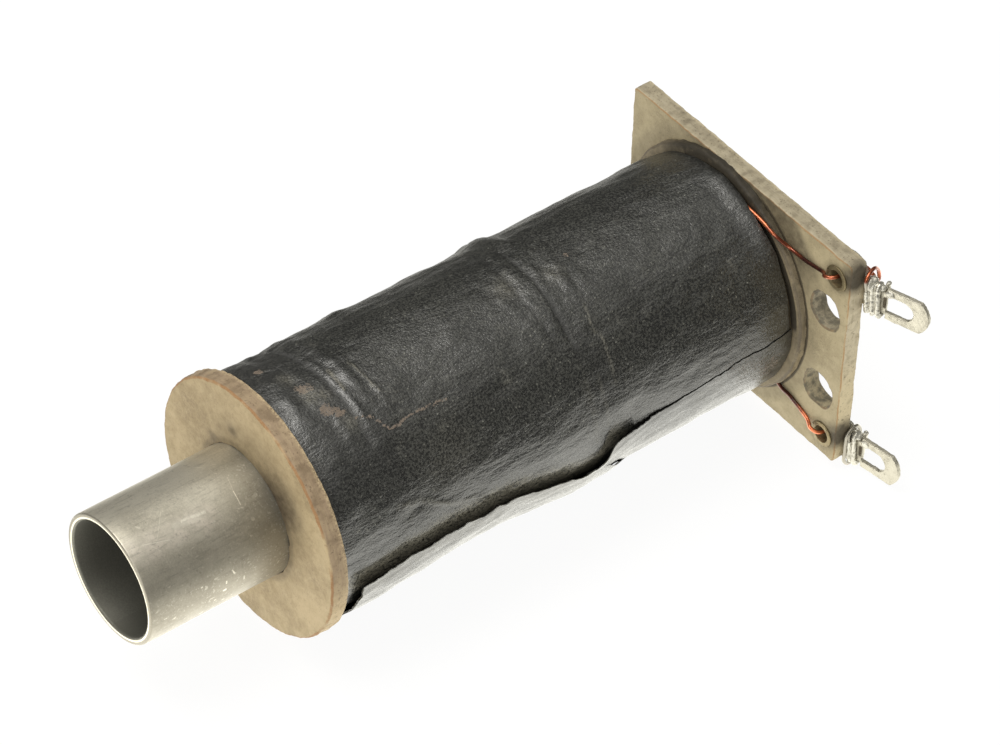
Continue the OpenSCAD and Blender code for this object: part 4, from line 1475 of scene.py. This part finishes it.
def lead_tail(lead):
    """Through the eyelet and loosely round the neck to where the tinned turns start."""
    x, _, z = eyelet_at[lead]
    lug = lugs[lead]
    out_y = LUG_T + EYELET_WALL + WIRE_D / 2 + CLEAR
    tail = [(x - 0.2, PLATE_FRONT, z), (x - 0.1, LUG_T / 2, z), (x + 0.5, out_y + 0.4, z + 0.1)]
    run = lug["loose"] + BEHIND_TURN
    count = math.ceil(10 * run)
    for i in range(count + 1):
        left = run * (1 - i / count)
        off = TINNED_OFF + (LOOSE_OFF + lug["slack"] - TINNED_OFF) * min(1, left / CLOSING_TURN)
        tail.append(turn_place(lead, ROOT_U, FIRST_TURN - left, off))
    return tail


def at_angle(degrees, radius, y):
    return (radius * math.sin(math.radians(degrees)), y, radius * math.cos(math.radians(degrees)))


ON_PLATE = PLATE_FRONT - WIRE_D / 2 - CLEAR
ON_WASHER = washer_lo[1] - WIRE_D / 2 - CLEAR
DIP_Y = PLATE_FRONT - EYELET_WALL - WIRE_D / 2 - 0.25
RIM_R = washer_hi[0] + WIRE_D / 2 + 2 * CLEAR


def start_route():
    x, _, z = eyelet_at["start"]
    groove = np.array(at_angle(130, 1, 0))
    core_r = box_mm("core_paper")[1][0]
    climb = (core_r + WIRE_D / 2 + 0.1) * groove
    rim = washer_hi[0] * groove
    route = [
        climb + (0, box_mm("core_paper")[1][1] + CLEAR, 0),
        climb + (0, washer_lo[1], 0),
        climb + (WIRE_D / 2 + 0.2) * groove + (0, ON_PLATE, 0),
        rim - 0.5 * groove + (0, ON_PLATE, 0),
        rim + (1.8, ON_PLATE, -0.2),
        (x - 2.3, ON_PLATE, z + 0.7),
        (x - 1.1, DIP_Y, z + 0.3),
    ]
    return route + lead_tail("start")


def finish_route():
    x, _, z = eyelet_at["finish"]
    last_r = box_mm("winding_layer_12")[1][0] - WIRE_D / 2
    on_winding = box_mm("winding_layer_12")[1][1] + WIRE_D / 2 + CLEAR
    route = [
        at_angle(-8, last_r, on_winding),
        at_angle(12, last_r, on_winding),
        at_angle(30, SKIN_R + 0.4, ON_WASHER),
        at_angle(39, RIM_R - 0.1, ON_WASHER),
        at_angle(47, RIM_R + 0.2, ON_PLATE),
        (x - 4.4, ON_PLATE, z - 0.8),
        (x - 1.9, ON_PLATE, z - 0.4),
        (x - 1.1, DIP_Y, z - 0.2),
    ]
    return route + lead_tail("finish")


lead_routes = {"start": start_route(), "finish": finish_route()}
for lead, route in lead_routes.items():
    print("route of the", lead, "lead has", len(route), "points")

# %% [markdown]
# Wire doesn't bend at a point, so a smooth curve is laid through each route before the tree sweeps it.


# %% Leads
def curve_through(points):
    """An open curve of straight spans through points in millimetres."""
    data = bpy.data.curves.new("route", "CURVE")
    data.dimensions = "3D"
    spline = data.splines.new("POLY")
    spline.points.add(len(points) - 1)
    for knot, place in zip(spline.points, points):
        knot.co = (*place, 1)
    return data


def smoothed(points, steps):
    """Smooth curve through the points of a route."""
    p = np.asarray(points, float)
    p = np.concatenate([p[:1], p, p[-1:]])
    t = np.linspace(0, 1, steps, endpoint=False)[:, None]
    spans = []
    for a, b, c, d in zip(p[:-3], p[1:-2], p[2:-1], p[3:]):
        spans.append(0.5 * (2 * b + (c - a) * t + (2 * a - 5 * b + 4 * c - d) * t**2
                            + (3 * b - a - 3 * c + d) * t**3))
    return np.concatenate(spans + [p[-1:]])


for lead, route in lead_routes.items():
    path = smoothed(route, steps=8)
    mesh = drawn_wire.run(curve_through(path), Thickness=WIRE_D, Sides=14, Uneven=0.06, Length=2.0,
                          Finish=enamelled_copper)
    mesh.shade_smooth()
    add_piece(lead + "_copper_lead", mesh, enamelled_copper, "enamelled_copper", lead + "_lead")

# %% [markdown]
# ## Solder lugs
# The lugs were hot-dipped, so their edges are round and their faces are pitted and a little thick. A copy
# of the exact solid is remeshed with small voxels, which rounds every edge alike, and then pushed in and
# out by a fine noise.


# %% Melted shapes
def melted(name, meshes, voxel, smooth, bumps, seed):
    """One soft-edged mesh from meshes in metres, by remeshing them in millimetres."""
    work = bmesh.new()
    for mesh in meshes:
        work.from_mesh(mesh)
    bmesh.ops.remove_doubles(work, verts=work.verts, dist=1e-7)
    joined = bpy.data.meshes.new(name)
    work.to_mesh(joined)
    work.free()
    joined.transform(Matrix.Scale(1 / MM, 4))
    worker = bpy.data.objects.new("worker", joined)
    bpy.context.scene.collection.objects.link(worker)
    remesh = worker.modifiers.new("melt", "REMESH")
    remesh.mode = "VOXEL"
    remesh.voxel_size = voxel
    flow = worker.modifiers.new("flow", "SMOOTH")
    flow.factor = 0.5
    flow.iterations = smooth
    mesh = plain_mesh(worker)
    count = len(mesh.vertices)
    place = np.empty(count * 3, np.float32)
    normal = np.empty(count * 3, np.float32)
    mesh.vertices.foreach_get("co", place)
    mesh.vertex_normals.foreach_get("vector", normal)
    place = place.reshape(-1, 3).astype(float)
    push = sum(depth * lumps(place, size, seed + k) for k, (size, depth) in enumerate(bumps))
    moved = (place + normal.reshape(-1, 3) * push[:, None]) * MM
    mesh.vertices.foreach_set("co", moved.astype(np.float32).ravel())
    mesh.update()
    mesh.shade_smooth()
    return mesh


# %% [markdown]
# Shade is painted just past the last turn on each lug, where the slot starts under the turns. Its place
# is known only now, so the finishes of the tin and the solder are made here.


# %% Lugs
def turns_end(lead):
    """How far along a lug's neck the tinned turns reach."""
    return ROOT_U + TURN_PITCH * (lugs[lead]["turns"] - 1 + LAST_TURN)


def slot_shade_line(lead):
    """Painted shade between a lug's last turn and its slot."""
    return [on_lug(lead, turns_end(lead) + 0.25, -0.1, up) for up in (-0.4, 0.7)]


# Painted shade at the root of each lug's slot
slot_shade = [slot_shade_line(lead) for lead in lugs]
tinned_metal = pitted_finish(
    "tinned_metal", light=(0.58, 0.55, 0.46), deep=(0.34, 0.32, 0.255), gloss=0.34,
    pit_size=0.4, depth=0.04, slot_shade=slot_shade)
solder = pitted_finish(
    "solder", light=(0.62, 0.6, 0.53), deep=(0.33, 0.31, 0.26), gloss=0.24,
    pit_size=0.5, depth=0.022, slot_shade=slot_shade)
# Size and depth of the bumps on a dipped lug
dipped_bumps = [(1.5, 0.014), (0.5, 0.012)]
for k, lead in enumerate(lugs):
    lug_solid = frame["nodes"][lead + "_lug"].data
    lug_mesh = melted(lead + "_solder_lug", [lug_solid], voxel=0.07, smooth=4, bumps=dipped_bumps,
                      seed=31 + 7 * k)
    add_piece(lead + "_solder_lug", lug_mesh, tinned_metal, "tinned_metal", lead + "_lug")

# %% [markdown]
# The tinned turns and the solder beside them have run together. They are swept, thickened unevenly,
# joined with beads of solder and melted into one lumpy piece.


# %% Soldered turns
def tinned_path(lead):
    lug = lugs[lead]
    count = lug["turns"] - 1 + LAST_TURN - FIRST_TURN
    advance = (lug["turns"] - 1 + LAST_TURN) / count
    steps = math.ceil(28 * count)
    path = [turn_place(lead, ROOT_U + TURN_PITCH * advance * t, FIRST_TURN + t, TINNED_OFF)
            for t in np.linspace(0, count, steps + 1)]
    return np.array(path + [path[-1] + (0.15, 0, lug["end"])])


def bead(lead, along, back, up, size):
    """A drop of solder on a lug, as a mesh in metres."""
    work = bmesh.new()
    bmesh.ops.create_icosphere(work, subdivisions=3, radius=1)
    shape = Matrix.Diagonal((*np.array(size) * MM, 1))
    turned = Matrix.Rotation(math.radians(lugs[lead]["bend"]), 4, "Z")
    place = Matrix.Translation(Vector(on_lug(lead, along, back, up) * MM))
    bmesh.ops.transform(work, matrix=place @ turned @ shape, verts=work.verts)
    mesh = bpy.data.meshes.new("bead")
    work.to_mesh(mesh)
    work.free()
    return mesh


def solder_beads(lead):
    """Solder beside the turns, behind them and along the top of the neck."""
    reach = turns_end(lead)
    slack = lugs[lead]["slack"]
    fill = 0.55 + slack * 0.85
    within_neck = LUG_T / 2
    above_neck = NECK_W / 2 + 0.35
    # Place along, back and up the lug, and half sizes
    drops = [
        (reach + 0.75, 0, 1.5, (0.5, 0.22, 0.45)),
        (reach + 0.75, LUG_T, 1.5, (0.5, 0.22, 0.45)),
        (reach * 0.5, LUG_T + 0.2, 0.3, (reach * 0.5, 0.32, 0.8)),
        (reach * 0.55, within_neck, above_neck, (reach * 0.55, 0.5, 0.42)),
        (0.5, within_neck, above_neck + slack * 0.7, (0.55, 0.5, 0.4)),
        (0.4, within_neck, above_neck, (0.42, fill * 0.8, fill - 0.2)),
    ]
    return [bead(lead, *drop) for drop in drops]


# Size and depth of the bumps where solder has run
run_bumps = [(0.6, 0.03), (0.3, 0.012)]
for k, lead in enumerate(lugs):
    turns = drawn_wire.run(curve_through(tinned_path(lead)), Thickness=TINNED_D, Sides=16, Uneven=0.35,
                           Length=0.9, Finish=solder)
    joint = melted(lead + "_solder_joint", [turns, *solder_beads(lead)], voxel=0.06, smooth=3,
                   bumps=run_bumps, seed=51 + 7 * k)
    add_piece(lead + "_solder_joint", joint, solder, "solder", lead + "_turns", lead + "_solder")

# %% [markdown]
# ## Eyelets
# Both lugs are riveted by the same hollow eyelet. One is turned from a profile with rolled heads, and a
# short tree sets copies of it at the ends of a line.

# %% Eyelets
EYELET_HEAD_R, EYELET_LIP_R, EYELET_BORE_R = 1.4, 1.02, 0.95


def eyelet_profile():
    """Radius and station of one eyelet, from the front head round to the bore."""
    back = LUG_T + EYELET_WALL
    front = PLATE_FRONT - EYELET_WALL
    a = np.linspace(0, math.pi, 7)
    head = EYELET_WALL / 2
    front_head = [(EYELET_HEAD_R + head * math.sin(t), front + head - head * math.cos(t)) for t in a]
    back_head = [(EYELET_HEAD_R + head * math.sin(t), back - head - head * math.cos(t)) for t in a]
    shank = [(EYELET_R, PLATE_FRONT), (EYELET_R, LUG_T)]
    bore = [(EYELET_BORE_R, back - 0.1), (EYELET_BORE_R, front + 0.1)]
    return [(EYELET_LIP_R, front), *front_head, *shank, *back_head, (EYELET_LIP_R, back), *bore]


def eyelet_recipe():
    recipe = Recipe("pair of eyelets", Apart="Vector", Count="Int", Finish="Material")
    given = recipe.given
    line = recipe.node("GeometryNodeMeshLine", None, {"Count": given["Count"], "Offset": given["Apart"]})[0]
    copies = recipe.node("GeometryNodeInstanceOnPoints", None,
                         {"Points": line, "Instance": given["Geometry"]})[0]
    recipe.close(copies, given["Finish"])
    return recipe


eyelet_mesh = spun("eyelet", eyelet_profile(), segments=40, waver=0.012, seed=71)
first, second = (eyelet_at[lead] for lead in ("start", "finish"))
eyelet_mesh.transform(Matrix.Translation((first[0] * MM, 0, first[2] * MM)))
eyelet_mesh.transform(Matrix.Scale(1 / MM, 4))
pair = eyelet_recipe().run(eyelet_mesh, Apart=(0, 0, second[2] - first[2]), Count=2, Finish=eyelet_brass)
add_piece("eyelets", pair, eyelet_brass, "eyelet_brass", "start_eyelet", "finish_eyelet")

# %% [markdown]
# ## Inside
# The paper sleeves and the layers of wire are covered, but they are there, and a glimpse of them shows
# in the gap behind the wrapper. Their solids stay, with a finish of their own.

# %% Finishes of the inner solids
for name, node in frame["nodes"].items():
    if name.startswith("winding_layer"):
        inner_finish = enamelled_copper
    elif name in ("core_paper", "inner_wrap"):
        inner_finish = varnished_paper
    else:
        continue
    node.data.materials.clear()
    node.data.materials.append(inner_finish)
print("dressed the inner solids")
